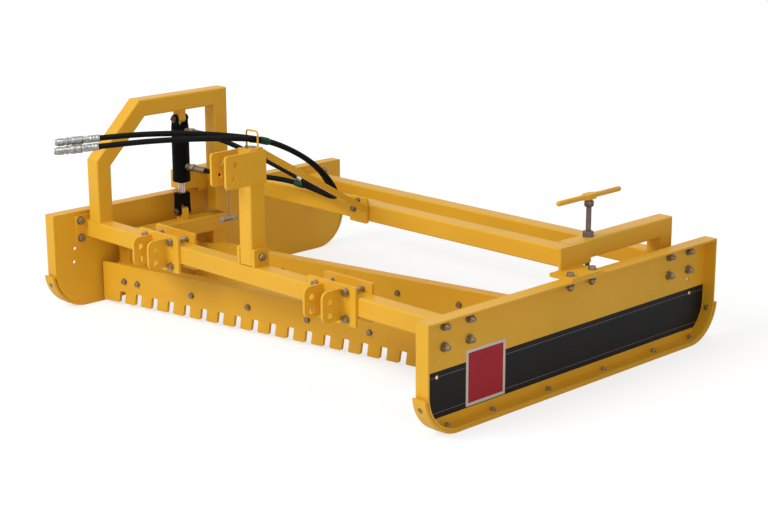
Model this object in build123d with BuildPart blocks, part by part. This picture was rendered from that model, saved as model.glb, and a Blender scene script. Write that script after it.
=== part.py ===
"""Tractor-mounted road grader: a welded frame between two skid plates, carrying two angled blades.

Axes: +X to the right side plate, -Y to the tractor, +Z up. The origin is on the ground under the middle.
All sizes are in millimetres.
"""

import os
from math import atan2, cos, radians, sin, tan

from build123d import *

os.makedirs("parts", exist_ok=True)

# Square tube of the main frame
tube = 80.0
tube_wall = 5.0
tube_corner = 8.0

# Side plates: a skin with a flange turned outwards all round, and drain holes placed from the beams
inner_width = 2340.0
plate_length = 1812.0
plate_top = 456.0
plate_wall = 8.0
flange_width = 64.0
plate_corner = 165.0
drain_hole = 16.0
front_drains = ((-105.0, 238.0), (-98.0, 174.0))
rear_drains = ((92.0, 236.0), (76.0, 170.0))

# Wear shoes under the side plates
shoe_wall = 12.0
shoe_width = 66.0
shoe_radius = 185.0
shoe_lap = 8.0
shoe_angle = 84.0

# Cross beams, bolted to the side plates by their end plates
front_beam_inset = 211.0
rear_beam_inset = 201.0
beam_drop = 83.0
end_plate = 12.0
end_plate_length = 186.0
end_plate_height = 128.0
bolt_hole = 22.0
bolt_gap_y = 139.0
bolt_gap_z = 83.0

# Raised middle beam, and the arm that runs back from its right end
middle_beam_y = 17.0
middle_beam_rise = 66.0
arm_inset = 98.0
foot_plate = 14.0
foot_length = 200.0
foot_bolt = 20.0
foot_bolt_inset = 30.0
foot_bolt_gap = 137.0
end_box_wall = 6.0
cap_wall = 12.0
cap_length = 194.0
left_box_width = 100.0
left_box_height = 86.0
left_box_reach = 157.0

# Arch over the cylinder
arch_inset = 82.0
arch_setback = 13.0
arch_height = 547.0
arch_foot_drop = 7.0
arch_shoulder = 228.6
arch_angle = 45.0

# Mast of the three-point hitch
mast_height = 501.0
mast_gap = 4.0
mast_cap = 6.0
mast_lug = 16.0
mast_lug_height = 78.0
mast_bolt = 20.0
mast_bolt_rise = 42.0
ear_wall = 12.0
ear_reach = 177.0
ear_drop = 6.0
ear_height = 141.0
ear_corner = 14.0
top_link_hole = 25.5
top_link_low = (-133.0, -99.0)
top_link_high = (-122.0, -43.0)

# Brace from the mast back to a clamp on the middle beam
brace = 25.0
brace_wall = 3.0
brace_drop = 15.0
brace_rise_low = 18.5
brace_clamp_width = 110.0
brace_clamp_x = -45.0
brace_clamp_drop = 24.0
brace_clamp_rise = 26.7
brace_clamp_wall = 12.0

# Hose guide on the mast
guide_bar = 8.0
guide_width = 72.0
guide_height = 76.0
guide_setback = 10.0
guide_corner = 12.0

# Pin that hangs from the right ear
keeper_reach = 165.0
keeper_drop = 119.0
keeper_wire = 6.0
keeper_pin = 24.0
keeper_length = 74.0

# Lower hitch brackets, clamped round the front beam
hitch_x = (-586.0, 541.0)
clamp_wall = 12.0
clamp_width = 280.0
clamp_height = 165.0
clamp_bolt = 20.0
clamp_bolt_gap_x = 177.0
clamp_bolt_gap_z = 110.0
hitch_ear_wall = 12.0
hitch_ear_gap = 94.0
hitch_ear_reach = 101.0
hitch_ear_height = 130.0
hitch_ear_corner = 30.0
hitch_pin_hole = 28.5
hitch_pin_reach = 113.0
hitch_pin_rise = 20.0
hitch_pin_drop = 38.0

# Bolt heads and nuts, as shares of the bolt's diameter
nut_height_share = 0.65
nut_radius_share = 0.87

# Blades and the frame that carries them
blade_angle = 10.5
blade_low = 14.0
blade_lip = 10.0
blade_wall = 16.0
blade_gap = 24.0
front_blade_inset = 255.0
rear_blade_inset = 95.0
tooth_gap = 100.0
slot_width = 30.0
slot_height = 55.0
slot_lean = 8.0
slot_corner = 0.4
carrier_inset = 28.0
girder_drop = 35.0
post_height = 68.0
left_post_steps = (64.65, 109.65)
right_post_steps = (19.7, 97.7)
gusset = 12.0
gusset_gap = 40.0

# Hydraulic cylinder, between a lug under the arch and a lug on the left girder
cylinder_setback = 222.0
lug_drop = 44.0
lug_rise = 43.0
pin = 25.0
pin_stick_out = 12.0
pin_ring = 36.0
pin_ring_wall = 5.0
pin_ring_gap = 3.0
lug_width = 44.0
lug_depth = 40.0
fork_gap = 44.0
fork_wall = 12.0
fork_width = 42.0
fork_play = 2.4
barrel_diameter = 84.0
barrel_bore = 70.0
barrel_drop = 40.0
barrel_rise = 58.0
barrel_end = 24.0
rod_diameter = 36.0
rod_play = 0.3
rod_block_rise = 34.0
rod_block_height = 57.0
piston_rise = 110.0
piston_height = 30.0
port_drop = 16.0
port_rise = 76.0
port_boss = 36.0
port_boss_reach = 50.0
port_across = 36.0
port_reach = 150.0

# Height screw at the right end
screw_setback = 196.0
screw_diameter = 22.0
screw_play = 1.0
screw_foot_drop = 38.0
handle_rise = 171.0
handle_length = 407.0
handle_bar = 22.0
hub_length = 110.0
hub_width = 40.0
hub_height = 24.0
arm_nut_height = 25.0
arm_nut_across = 46.0
collar_rise = 131.0
collar_height = 20.0
collar_diameter = 40.0
block_width = 50.0
block_depth = 56.0
block_height = 44.0
block_bore = 24.8
block_bore_shift = 1.2
trunnion = 25.0
trunnion_gap = 4.0
nut_lug_wall = 14.0
girder_hole = 44.0

# Hoses from the quick couplers over the mast to the cylinder's ports
hose = 22.0
coupler_length = 150.0
coupler_diameter = 34.0
route_width = 938.0
route_reach = 477.0
bend_share = 0.45

# The routes are drawn from the front beam in Y and from the mast's top in Z
upper_hose_route = (
    (-487, -458, 34),
    (-396, -368, 48),
    (-276, -251, 58),
    (-146, -125, 57),
    (2, -2, 44),
    (-14, 135, 3),
    (-26, 265, -57),
    (-36, 365, -117),
    (-46, 445, -183),
    (-60, 499, -247),
    (-104, 537, -290),
    (-176, 567, -306),
    (-266, 587, -298),
    (-364, 587, -274),
    (-466, 577, -246),
    (-580, 557, -212),
    (-700, 525, -174),
)
lower_hose_route = (
    (-465, -480, 4),
    (-370, -392, 20),
    (-250, -277, 36),
    (-120, -147, 43),
    (29, -2, 44),
    (14, 135, 0),
    (0, 265, -63),
    (-10, 365, -125),
    (-22, 449, -196),
    (-38, 513, -264),
    (-84, 563, -316),
    (-166, 595, -330),
    (-262, 607, -320),
    (-364, 603, -308),
    (-466, 583, -298),
    (-580, 551, -297),
    (-706, 513, -302),
)
upper_hose_bend = 260.0
lower_hose_bend = 258.0

# Places that follow from these sizes
frame_side = inner_width / 2
front_beam_y = front_beam_inset - plate_length / 2
rear_beam_y = plate_length / 2 - rear_beam_inset
beam_z = plate_top - beam_drop
beam_high = beam_z + tube / 2
middle_beam_z = plate_top + middle_beam_rise
middle_high = middle_beam_z + tube / 2
arm_x = frame_side - arm_inset
arch_x = arch_inset - frame_side
arch_rear_y = middle_beam_y - arch_setback
arch_top = beam_high + arch_height
arch_shoulder_y = front_beam_y + arch_shoulder
mast_top = beam_high + mast_height
mast_rear = front_beam_y + tube / 2
ear_high = mast_top - ear_drop
ear_low = ear_high - ear_height
slope = tan(radians(blade_angle))
blade_reach = frame_side - blade_gap
tooth_count = int(2 * blade_reach / tooth_gap)
front_blade_y = front_beam_y + front_blade_inset
rear_blade_y = middle_beam_y + rear_blade_inset
girder_top = beam_z - girder_drop
girder_z = girder_top - tube / 2
girder_low = girder_top - tube
carrier_high = girder_low - post_height
carrier_low = carrier_high - tube
blade_height = carrier_high + blade_lip - blade_low
cylinder_y = arch_rear_y - cylinder_setback
upper_pin_z = arch_top - tube - lug_drop
lower_pin_z = girder_top + lug_rise
rod_block_low = lower_pin_z + rod_block_rise
rod_block_high = rod_block_low + rod_block_height
barrel_low = rod_block_high + barrel_rise
barrel_high = upper_pin_z - barrel_drop
piston_low = barrel_low + piston_rise
port_high = barrel_high - port_drop
port_low = barrel_low + port_rise
hose_end = arch_x + port_reach
screw_y = middle_beam_y + screw_setback
handle_z = middle_high + handle_rise
hub_low = handle_z - hub_height / 2


def tube_section(place, wall=tube_wall, size=tube):
    """Hollow square section at a place of the sketch plane."""
    with Locations(place):
        RectangleRounded(size, size, min(tube_corner, size / 4))
        Rectangle(size - 2 * wall, size - 2 * wall, mode=Mode.SUBTRACT)


# Side plates and wear shoes
shoe_centre = plate_length / 2 + shoe_lap - shoe_radius + shoe_wall
for side_name, side in (("right", 1), ("left", -1)):
    with BuildPart() as side_plate:
        with BuildSketch(Plane.YZ.offset(side * frame_side)) as outline:
            with Locations((0, shoe_wall)):
                Rectangle(plate_length, plate_top - shoe_wall, align=(Align.CENTER, Align.MIN))
            fillet(outline.vertices().group_by(Axis.Y)[0], plate_corner)
        extrude(amount=side * flange_width)
        with BuildSketch(Plane.YZ.offset(side * (frame_side + plate_wall))) as hollow:
            with Locations((0, shoe_wall + plate_wall)):
                Rectangle(
                    plate_length - 2 * plate_wall,
                    plate_top - shoe_wall - 2 * plate_wall,
                    align=(Align.CENTER, Align.MIN),
                )
            fillet(hollow.vertices().group_by(Axis.Y)[0], plate_corner - plate_wall)
        extrude(amount=side * flange_width, mode=Mode.SUBTRACT)
        with BuildSketch(Plane.YZ.offset(side * frame_side)):
            for beam_y in (front_beam_y, rear_beam_y):
                with Locations((beam_y, beam_z)):
                    with GridLocations(bolt_gap_y, bolt_gap_z, 2, 2):
                        Circle(bolt_hole / 2)
            for beam_y, drains in ((front_beam_y, front_drains), (rear_beam_y, rear_drains)):
                with Locations(*((beam_y + drain_y, plate_top - drop) for drain_y, drop in drains)):
                    Circle(drain_hole / 2)
        extrude(amount=side * plate_wall, mode=Mode.SUBTRACT)
        with BuildSketch(Plane.XY.offset(plate_top - plate_wall)):
            with Locations((side * (frame_side + foot_bolt_inset), middle_beam_y)):
                with GridLocations(0, foot_bolt_gap, 1, 2):
                    Circle(foot_bolt / 2)
        extrude(amount=plate_wall, mode=Mode.SUBTRACT)
    side_plate.part.label = f"side_plate_{side_name}"
    export_step(side_plate.part, f"parts/side_plate_{side_name}.step")

    with BuildPart() as shoe:
        with BuildSketch(Plane.YZ.offset(side * frame_side)):
            for radius, mode in ((shoe_radius, Mode.ADD), (shoe_radius - shoe_wall, Mode.SUBTRACT)):
                with BuildLine():
                    rear = CenterArc((shoe_centre, shoe_radius), radius, -90, shoe_angle)
                    front = CenterArc((-shoe_centre, shoe_radius), radius, -90, -shoe_angle)
                    Line(rear @ 0, front @ 0)
                    Line(rear @ 1, front @ 1)
                make_face(mode=mode)
        extrude(amount=side * shoe_width)
    shoe.part.label = f"wear_shoe_{side_name}"
    export_step(shoe.part, f"parts/wear_shoe_{side_name}.step")

# Front and rear beams
for beam_name, beam_y in (("front_beam", front_beam_y), ("rear_beam", rear_beam_y)):
    with BuildPart() as beam:
        with BuildSketch(Plane.YZ.offset(-frame_side + end_plate)):
            tube_section((beam_y, beam_z))
        extrude(amount=inner_width - 2 * end_plate)
        for start in (-frame_side, frame_side - end_plate):
            with BuildSketch(Plane.YZ.offset(start)):
                with Locations((beam_y, beam_z)):
                    RectangleRounded(end_plate_length, end_plate_height, tube_corner)
                    with GridLocations(bolt_gap_y, bolt_gap_z, 2, 2):
                        Circle(bolt_hole / 2, mode=Mode.SUBTRACT)
            extrude(amount=end_plate)
    beam.part.label = beam_name
    export_step(beam.part, f"parts/{beam_name}.step")

# Foot plates on the side plates' top flanges
arm_outside = arm_x + tube / 2
arch_outside = arch_x - tube / 2
foot_reach = frame_side + flange_width
foot_spans = (("right", arm_outside, foot_reach, 1), ("left", -foot_reach, arch_outside, -1))
for side_name, left, right, side in foot_spans:
    with BuildPart() as foot:
        with BuildSketch(Plane.XY.offset(plate_top)):
            with Locations(((left + right) / 2, middle_beam_y)):
                RectangleRounded(right - left, foot_length, tube_corner)
            with Locations((side * (frame_side + foot_bolt_inset), middle_beam_y)):
                with GridLocations(0, foot_bolt_gap, 1, 2):
                    Circle(foot_bolt / 2, mode=Mode.SUBTRACT)
        extrude(amount=foot_plate)
    foot.part.label = f"foot_plate_{side_name}"
    export_step(foot.part, f"parts/foot_plate_{side_name}.step")

# Left end box, open below, from the arch's outside down to the foot plate
foot_top = plate_top + foot_plate
middle_front = middle_beam_y - tube / 2
left_box_middle = (arch_outside - left_box_width / 2, middle_beam_y - left_box_reach / 2)
left_box_length = left_box_reach + tube
with BuildPart() as end_box:
    with BuildSketch(Plane.XY.offset(foot_top)):
        with Locations(left_box_middle):
            RectangleRounded(left_box_width, left_box_length, tube_corner)
    extrude(amount=left_box_height)
    with BuildSketch(Plane.XY.offset(foot_top)):
        with Locations(left_box_middle):
            Rectangle(left_box_width - 2 * end_box_wall, left_box_length - 2 * end_box_wall)
    extrude(amount=left_box_height - end_box_wall, mode=Mode.SUBTRACT)
end_box.part.label = "end_box_left"
export_step(end_box.part, "parts/end_box_left.step")

# Right end plate, upright on the foot plate, across the ends of the middle beam and the arm
with BuildPart() as end_cap:
    with BuildSketch(Plane.YZ.offset(arm_outside)):
        with Locations((middle_front, foot_top)):
            Rectangle(cap_length, middle_high - foot_top, align=(Align.MIN, Align.MIN))
    extrude(amount=cap_wall)
end_cap.part.label = "right_end_plate"
export_step(end_cap.part, "parts/right_end_plate.step")

# Middle beam, from the arch's rear leg to the right end plate
with BuildPart() as middle_beam:
    with BuildSketch(Plane.YZ.offset(arch_x + tube / 2)):
        tube_section((middle_beam_y, middle_beam_z))
    extrude(amount=arm_outside - arch_x - tube / 2)
middle_beam.part.label = "middle_beam"
export_step(middle_beam.part, "parts/middle_beam.step")

# Right arm, back from the middle beam and down on the rear beam, with the screw's nut on it
with BuildPart() as arm:
    with BuildLine() as arm_path:
        Polyline(
            (arm_x, middle_beam_y + tube / 2, middle_beam_z),
            (arm_x, rear_beam_y, middle_beam_z),
            (arm_x, rear_beam_y, beam_high),
        )
    with BuildSketch(Plane(origin=arm_path.line @ 0, x_dir=(1, 0, 0), z_dir=(0, 1, 0))):
        tube_section((0, 0))
    sweep(path=arm_path.line, transition=Transition.RIGHT)
    with Locations((arm_x, screw_y, middle_high)):
        Hole(screw_diameter / 2 + screw_play, depth=tube)
arm.part.label = "right_arm"
export_step(arm.part, "parts/right_arm.step")

with BuildPart() as arm_nut:
    with BuildSketch(Plane.XY.offset(middle_high)):
        with Locations((arm_x, screw_y)):
            RegularPolygon(arm_nut_across / 2, 6)
            Circle(screw_diameter / 2 + screw_play, mode=Mode.SUBTRACT)
    extrude(amount=arm_nut_height)
arm_nut.part.label = "arm_nut"
export_step(arm_nut.part, "parts/arm_nut.step")

# Arch: a mitred tube, up from the front beam, over the cylinder and down past the middle beam
arch_centre_z = arch_top - tube / 2
arch_knee_z = arch_centre_z - (arch_shoulder_y - front_beam_y) * tan(radians(arch_angle))
with BuildPart() as arch:
    with BuildLine() as arch_path:
        Polyline(
            (arch_x, front_beam_y, beam_high),
            (arch_x, front_beam_y, arch_knee_z),
            (arch_x, arch_shoulder_y, arch_centre_z),
            (arch_x, arch_rear_y, arch_centre_z),
            (arch_x, arch_rear_y, beam_z - arch_foot_drop),
        )
    with BuildSketch(Plane(origin=arch_path.line @ 0, x_dir=(1, 0, 0), z_dir=(0, 0, 1))):
        tube_section((0, 0))
    sweep(path=arch_path.line, transition=Transition.RIGHT)
arch.part.label = "cylinder_arch"
export_step(arch.part, "parts/cylinder_arch.step")


def lug_outline(root_z, eye_z, width, hole, play=0.0):
    """Plate outline with a round end about its eye, at the cylinder's X. Play makes the eye a level slot."""
    with Locations((arch_x, eye_z)):
        Circle(width / 2)
    with Locations((arch_x, (root_z + eye_z) / 2)):
        Rectangle(width, abs(root_z - eye_z))
    with Locations((arch_x, eye_z)):
        if play:
            SlotOverall(hole + 2 * play, hole, mode=Mode.SUBTRACT)
        else:
            Circle(hole / 2, mode=Mode.SUBTRACT)


with BuildPart() as arch_lug:
    with BuildSketch(Plane.XZ.offset(-cylinder_y)):
        lug_outline(arch_top - tube, upper_pin_z, lug_width, pin)
    extrude(amount=lug_depth / 2, both=True)
arch_lug.part.label = "arch_lug"
export_step(arch_lug.part, "parts/arch_lug.step")

# Cylinder barrel with its upper fork and port stubs
fork_depth = fork_gap + 2 * fork_wall
with BuildPart() as barrel:
    with BuildSketch(Plane.XY.offset(barrel_low)):
        with Locations((arch_x, cylinder_y)):
            Circle(barrel_diameter / 2)
            Circle(rod_diameter / 2 + rod_play, mode=Mode.SUBTRACT)
    extrude(amount=barrel_high - barrel_low)
    with BuildSketch(Plane.XY.offset(barrel_low + barrel_end)):
        with Locations((arch_x, cylinder_y)):
            Circle(barrel_bore / 2)
    extrude(amount=barrel_high - barrel_low - 2 * barrel_end, mode=Mode.SUBTRACT)
    for fork_side in (-1, 1):
        fork_face = cylinder_y + fork_side * (fork_gap / 2 + fork_wall / 2)
        with BuildSketch(Plane.XZ.offset(-fork_face)):
            lug_outline(barrel_high - barrel_end / 2, upper_pin_z, fork_width, pin)
        extrude(amount=fork_wall / 2, both=True)
    for port_z in (port_low, port_high):
        with BuildSketch(Plane.YZ.offset(arch_x + barrel_bore / 2 + rod_play)):
            with Locations((cylinder_y, port_z)):
                Circle(port_boss / 2)
        extrude(amount=port_boss_reach - barrel_bore / 2 - rod_play)
barrel.part.label = "cylinder_barrel"
export_step(barrel.part, "parts/cylinder_barrel.step")

# Port fittings, level with the ground and pointing to the mast
with BuildPart() as fittings:
    for port_z in (port_high, port_low):
        with BuildSketch(Plane.YZ.offset(arch_x + port_boss_reach)):
            with Locations((cylinder_y, port_z)):
                RegularPolygon(port_across / 2, 6)
        extrude(amount=hose_end - arch_x - port_boss_reach)
fittings.part.label = "port_fittings"
export_step(fittings.part, "parts/port_fittings.step")

# Pins of the cylinder: the upper one in the arch's lug, the lower one in the girder's lug
for pin_name, pin_z in (("upper_pin", upper_pin_z), ("lower_pin", lower_pin_z)):
    half = fork_depth / 2 + pin_stick_out
    with BuildPart() as pin_piece:
        with BuildSketch(Plane.XZ.offset(-cylinder_y - half)):
            with Locations((arch_x, pin_z)):
                Circle(pin / 2)
        extrude(amount=2 * half)
        with BuildSketch(Plane.XZ.offset(-cylinder_y + half - pin_stick_out + pin_ring_gap)):
            with Locations((arch_x, pin_z)):
                Circle(pin_ring / 2)
        extrude(amount=pin_ring_wall)
    pin_piece.part.label = pin_name
    export_step(pin_piece.part, f"parts/{pin_name}.step")

# Cylinder rod with its piston, and the fork on its lower end
with BuildPart() as rod:
    with BuildSketch(Plane.XY.offset(rod_block_high)):
        with Locations((arch_x, cylinder_y)):
            Circle(rod_diameter / 2)
    extrude(amount=piston_low + piston_height - rod_block_high)
    with BuildSketch(Plane.XY.offset(piston_low)):
        with Locations((arch_x, cylinder_y)):
            Circle(barrel_bore / 2 - rod_play)
    extrude(amount=piston_height)
rod.part.label = "cylinder_rod"
export_step(rod.part, "parts/cylinder_rod.step")

with BuildPart() as rod_fork:
    with BuildSketch(Plane.XY.offset(rod_block_low)):
        with Locations((arch_x, cylinder_y)):
            RectangleRounded(fork_width, fork_depth, fork_wall / 4)
    extrude(amount=rod_block_high - rod_block_low)
    for fork_side in (-1, 1):
        fork_face = cylinder_y + fork_side * (fork_gap / 2 + fork_wall / 2)
        with BuildSketch(Plane.XZ.offset(-fork_face)):
            lug_outline(rod_block_low, lower_pin_z, fork_width, pin + 2 * rod_play, fork_play)
        extrude(amount=fork_wall / 2, both=True)
rod_fork.part.label = "rod_fork"
export_step(rod_fork.part, "parts/rod_fork.step")

# Mast: foot lugs and bolt, post with its cap, top-link ears
with BuildPart() as mast_foot:
    for start in (-tube / 2 - mast_lug, tube / 2):
        with BuildSketch(Plane.YZ.offset(start)) as lug:
            with Locations((front_beam_y, beam_high)):
                Rectangle(tube, mast_lug_height, align=(Align.CENTER, Align.MIN))
            fillet(lug.vertices().group_by(Axis.Y)[-1], tube_corner)
            with Locations((front_beam_y, beam_high + mast_bolt_rise)):
                Circle(mast_bolt / 2, mode=Mode.SUBTRACT)
        extrude(amount=mast_lug)
mast_foot.part.label = "mast_foot_lugs"
export_step(mast_foot.part, "parts/mast_foot_lugs.step")

bolt_half = tube / 2 + mast_lug
with BuildPart() as foot_bolt_piece:
    with BuildSketch(Plane.YZ.offset(-bolt_half)):
        with Locations((front_beam_y, beam_high + mast_bolt_rise)):
            Circle(mast_bolt / 2)
    extrude(amount=2 * bolt_half)
    for start, amount in ((-bolt_half, -1), (bolt_half, 1)):
        with BuildSketch(Plane.YZ.offset(start)):
            with Locations((front_beam_y, beam_high + mast_bolt_rise)):
                RegularPolygon(mast_bolt * nut_radius_share, 6)
        extrude(amount=amount * mast_bolt * nut_height_share)
foot_bolt_piece.part.label = "mast_bolt"
export_step(foot_bolt_piece.part, "parts/mast_bolt.step")

with BuildPart() as mast:
    with BuildSketch(Plane.XY.offset(beam_high + mast_gap)):
        tube_section((0, front_beam_y))
    extrude(amount=mast_top - mast_cap - beam_high - mast_gap)
    with BuildSketch(Plane.XY.offset(mast_top - mast_cap)):
        with Locations((0, front_beam_y)):
            RectangleRounded(tube, tube, tube_corner)
    extrude(amount=mast_cap)
    with BuildSketch(Plane.YZ.offset(-tube / 2)):
        with Locations((front_beam_y, beam_high + mast_bolt_rise)):
            Circle(mast_bolt / 2)
    extrude(amount=tube, mode=Mode.SUBTRACT)
mast.part.label = "mast_post"
export_step(mast.part, "parts/mast_post.step")

for ear_name, start in (("left", -tube / 2 - ear_wall), ("right", tube / 2)):
    with BuildPart() as ear_piece:
        with BuildSketch(Plane.YZ.offset(start)) as ear:
            with Locations((front_beam_y - ear_reach, ear_low)):
                Rectangle(mast_rear - front_beam_y + ear_reach, ear_height, align=(Align.MIN, Align.MIN))
            fillet(ear.vertices().group_by(Axis.X)[0], ear_corner)
            for hole_y, hole_z in (top_link_low, top_link_high):
                with Locations((front_beam_y + hole_y, ear_high + hole_z)):
                    Circle(top_link_hole / 2, mode=Mode.SUBTRACT)
        extrude(amount=ear_wall)
    ear_piece.part.label = f"top_link_ear_{ear_name}"
    export_step(ear_piece.part, f"parts/top_link_ear_{ear_name}.step")

# Hose guide: a bar bent over the hoses and welded to the mast's cap
guide_y = front_beam_y + guide_setback
guide_bend_z = mast_top + guide_height - guide_bar / 2
with BuildPart() as guide:
    with BuildLine() as guide_path:
        FilletPolyline(
            (-guide_width / 2, guide_y, mast_top),
            (-guide_width / 2, guide_y, guide_bend_z),
            (guide_width / 2, guide_y, guide_bend_z),
            (guide_width / 2, guide_y, mast_top),
            radius=guide_corner,
        )
    with BuildSketch(Plane(origin=guide_path.line @ 0, x_dir=(1, 0, 0), z_dir=(0, 0, 1))):
        Circle(guide_bar / 2)
    sweep(path=guide_path.line)
guide.part.label = "hose_guide"
export_step(guide.part, "parts/hose_guide.step")

# Brace, a square tube cut off upright at both ends, and its clamp on the middle beam
brace_high_z = mast_top - brace_drop
brace_low_z = middle_beam_z + brace_rise_low
brace_rear = middle_beam_y - tube / 2 - brace_clamp_wall
brace_lean = atan2(brace_high_z - brace_low_z, brace_rear - mast_rear)
brace_half = brace / 2 / cos(brace_lean)
brace_inner = (brace / 2 - brace_wall) / cos(brace_lean)
with BuildPart() as brace_piece:
    brace_hollow = brace - 2 * brace_wall
    for width, half, mode in ((brace, brace_half, Mode.ADD), (brace_hollow, brace_inner, Mode.SUBTRACT)):
        with BuildSketch(Plane.YZ.offset(-width / 2)):
            with BuildLine():
                Polyline(
                    (mast_rear, brace_high_z - half),
                    (mast_rear, brace_high_z + half),
                    (brace_rear, brace_low_z + half),
                    (brace_rear, brace_low_z - half),
                    close=True,
                )
            make_face()
        extrude(amount=width, mode=mode)
brace_piece.part.label = "mast_brace"
export_step(brace_piece.part, "parts/mast_brace.step")

brace_clamp_height = brace_clamp_drop + tube + brace_clamp_rise
with BuildPart() as brace_clamp:
    for clamp_y in (brace_rear, middle_beam_y + tube / 2):
        with BuildSketch(Plane.XZ.offset(-clamp_y)) as clamp_face:
            with Locations((brace_clamp_x, middle_high + brace_clamp_rise)):
                Rectangle(brace_clamp_width, brace_clamp_height, align=(Align.CENTER, Align.MAX))
            fillet(clamp_face.vertices(), tube_corner)
        extrude(amount=-brace_clamp_wall)
brace_clamp.part.label = "brace_clamp"
export_step(brace_clamp.part, "parts/brace_clamp.step")

# Keeper: a pin that hangs on a wire from the right ear
keeper_x = (tube + ear_wall) / 2
keeper_y = front_beam_y - keeper_reach
keeper_low = ear_low - keeper_drop
with BuildPart() as keeper:
    with BuildSketch(Plane.XY.offset(keeper_low)):
        with Locations((keeper_x, keeper_y)):
            Circle(keeper_wire / 2)
    extrude(amount=ear_low - keeper_low)
    with BuildSketch(Plane.XZ.offset(-keeper_y - keeper_length / 2)):
        with Locations((keeper_x, keeper_low)):
            Circle(keeper_pin / 2)
    extrude(amount=keeper_length)
keeper.part.label = "keeper_pin"
export_step(keeper.part, "parts/keeper_pin.step")

# Lower hitch brackets and the plates behind the beam that they are bolted to
beam_front = front_beam_y - tube / 2
hitch_pin_y = front_beam_y - hitch_pin_reach
hitch_pins = ((hitch_pin_y, beam_z - hitch_pin_drop), (hitch_pin_y, beam_z + hitch_pin_rise))
for side_name, centre in zip(("left", "right"), hitch_x):
    with BuildPart() as hitch:
        with BuildSketch(Plane.XZ.offset(-beam_front)):
            with Locations((centre, beam_z)):
                RectangleRounded(clamp_width, clamp_height, tube_corner)
                with GridLocations(clamp_bolt_gap_x, clamp_bolt_gap_z, 2, 2):
                    Circle(clamp_bolt / 2, mode=Mode.SUBTRACT)
        extrude(amount=clamp_wall)
        for ear_x in (-hitch_ear_gap / 2 - hitch_ear_wall, hitch_ear_gap / 2):
            with BuildSketch(Plane.YZ.offset(centre + ear_x)) as ear:
                with Locations((beam_front - clamp_wall, beam_z)):
                    Rectangle(hitch_ear_reach, hitch_ear_height, align=(Align.MAX, Align.CENTER))
                fillet(ear.vertices().group_by(Axis.X)[0], hitch_ear_corner)
                with Locations(*hitch_pins):
                    Circle(hitch_pin_hole / 2, mode=Mode.SUBTRACT)
            extrude(amount=hitch_ear_wall)
    hitch.part.label = f"hitch_bracket_{side_name}"
    export_step(hitch.part, f"parts/hitch_bracket_{side_name}.step")

    with BuildPart() as clamp:
        with BuildSketch(Plane.XZ.offset(-mast_rear)):
            with Locations((centre, beam_z)):
                RectangleRounded(clamp_width, clamp_height, tube_corner)
                with GridLocations(clamp_bolt_gap_x, clamp_bolt_gap_z, 2, 2):
                    Circle(clamp_bolt / 2, mode=Mode.SUBTRACT)
        extrude(amount=-clamp_wall)
    clamp.part.label = f"hitch_clamp_{side_name}"
    export_step(clamp.part, f"parts/hitch_clamp_{side_name}.step")

    with BuildPart() as studs:
        with BuildSketch(Plane.XZ.offset(-beam_front + clamp_wall)):
            with Locations((centre, beam_z)):
                with GridLocations(clamp_bolt_gap_x, clamp_bolt_gap_z, 2, 2):
                    Circle(clamp_bolt / 2)
        extrude(amount=-tube - 2 * clamp_wall)
        for start, amount in ((-beam_front + clamp_wall, 1), (-mast_rear - clamp_wall, -1)):
            with BuildSketch(Plane.XZ.offset(start)):
                with Locations((centre, beam_z)):
                    with GridLocations(clamp_bolt_gap_x, clamp_bolt_gap_z, 2, 2):
                        RegularPolygon(clamp_bolt * nut_radius_share, 6)
            extrude(amount=amount * clamp_bolt * nut_height_share)
    studs.part.label = f"hitch_studs_{side_name}"
    export_step(studs.part, f"parts/hitch_studs_{side_name}.step")

# Blades: the front one toothed, both at the same angle across the machine
along = Vector(cos(radians(blade_angle)), sin(radians(blade_angle)), 0)
back = Vector(-sin(radians(blade_angle)), cos(radians(blade_angle)), 0)
blade_half = (blade_reach - blade_wall / 2 * sin(radians(blade_angle))) / cos(radians(blade_angle))
blade_table = (("front_blade", front_blade_y, True), ("rear_blade", rear_blade_y, False))
for blade_name, blade_y, toothed in blade_table:
    blade_plane = Plane(origin=Vector(0, blade_y, 0) - back * (blade_wall / 2), x_dir=along, z_dir=back)
    with BuildPart() as blade:
        with BuildSketch(blade_plane):
            with Locations((0, -blade_low)):
                Rectangle(2 * blade_half, blade_height, align=(Align.CENTER, Align.MAX))
            if toothed:
                with Locations((0, -blade_low)):
                    with GridLocations(tooth_gap, 0, tooth_count, 1):
                        with BuildLine(mode=Mode.PRIVATE) as slot_edge:
                            FilletPolyline(
                                (-slot_width / 2, slot_corner),
                                (-slot_width / 2 + slot_lean, -slot_height),
                                (slot_width / 2 + slot_lean, -slot_height),
                                (slot_width / 2, slot_corner),
                                close=True,
                                radius=slot_corner,
                            )
                        with BuildSketch(Plane.XY, mode=Mode.PRIVATE) as slot:
                            with BuildLine():
                                add(slot_edge.line)
                            make_face()
                        add(slot.sketch, mode=Mode.SUBTRACT)
        extrude(amount=blade_wall)
    blade.part.label = blade_name
    export_step(blade.part, f"parts/{blade_name}.step")

# Carriers: a square tube behind each blade
carrier_skew = (blade_wall + tube) * sin(radians(blade_angle))
carrier_half = (blade_reach - carrier_inset - carrier_skew) / cos(radians(blade_angle))
for carrier_name, blade_y in (("front_carrier", front_blade_y), ("rear_carrier", rear_blade_y)):
    carrier_middle = Vector(0, blade_y, carrier_low + tube / 2) + back * (blade_wall / 2 + tube / 2)
    carrier_start = carrier_middle - along * carrier_half
    with BuildPart() as carrier:
        with BuildSketch(Plane(origin=carrier_start, x_dir=back, z_dir=along)):
            tube_section((0, 0))
        extrude(amount=2 * carrier_half)
    carrier.part.label = carrier_name
    export_step(carrier.part, f"parts/{carrier_name}.step")

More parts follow.
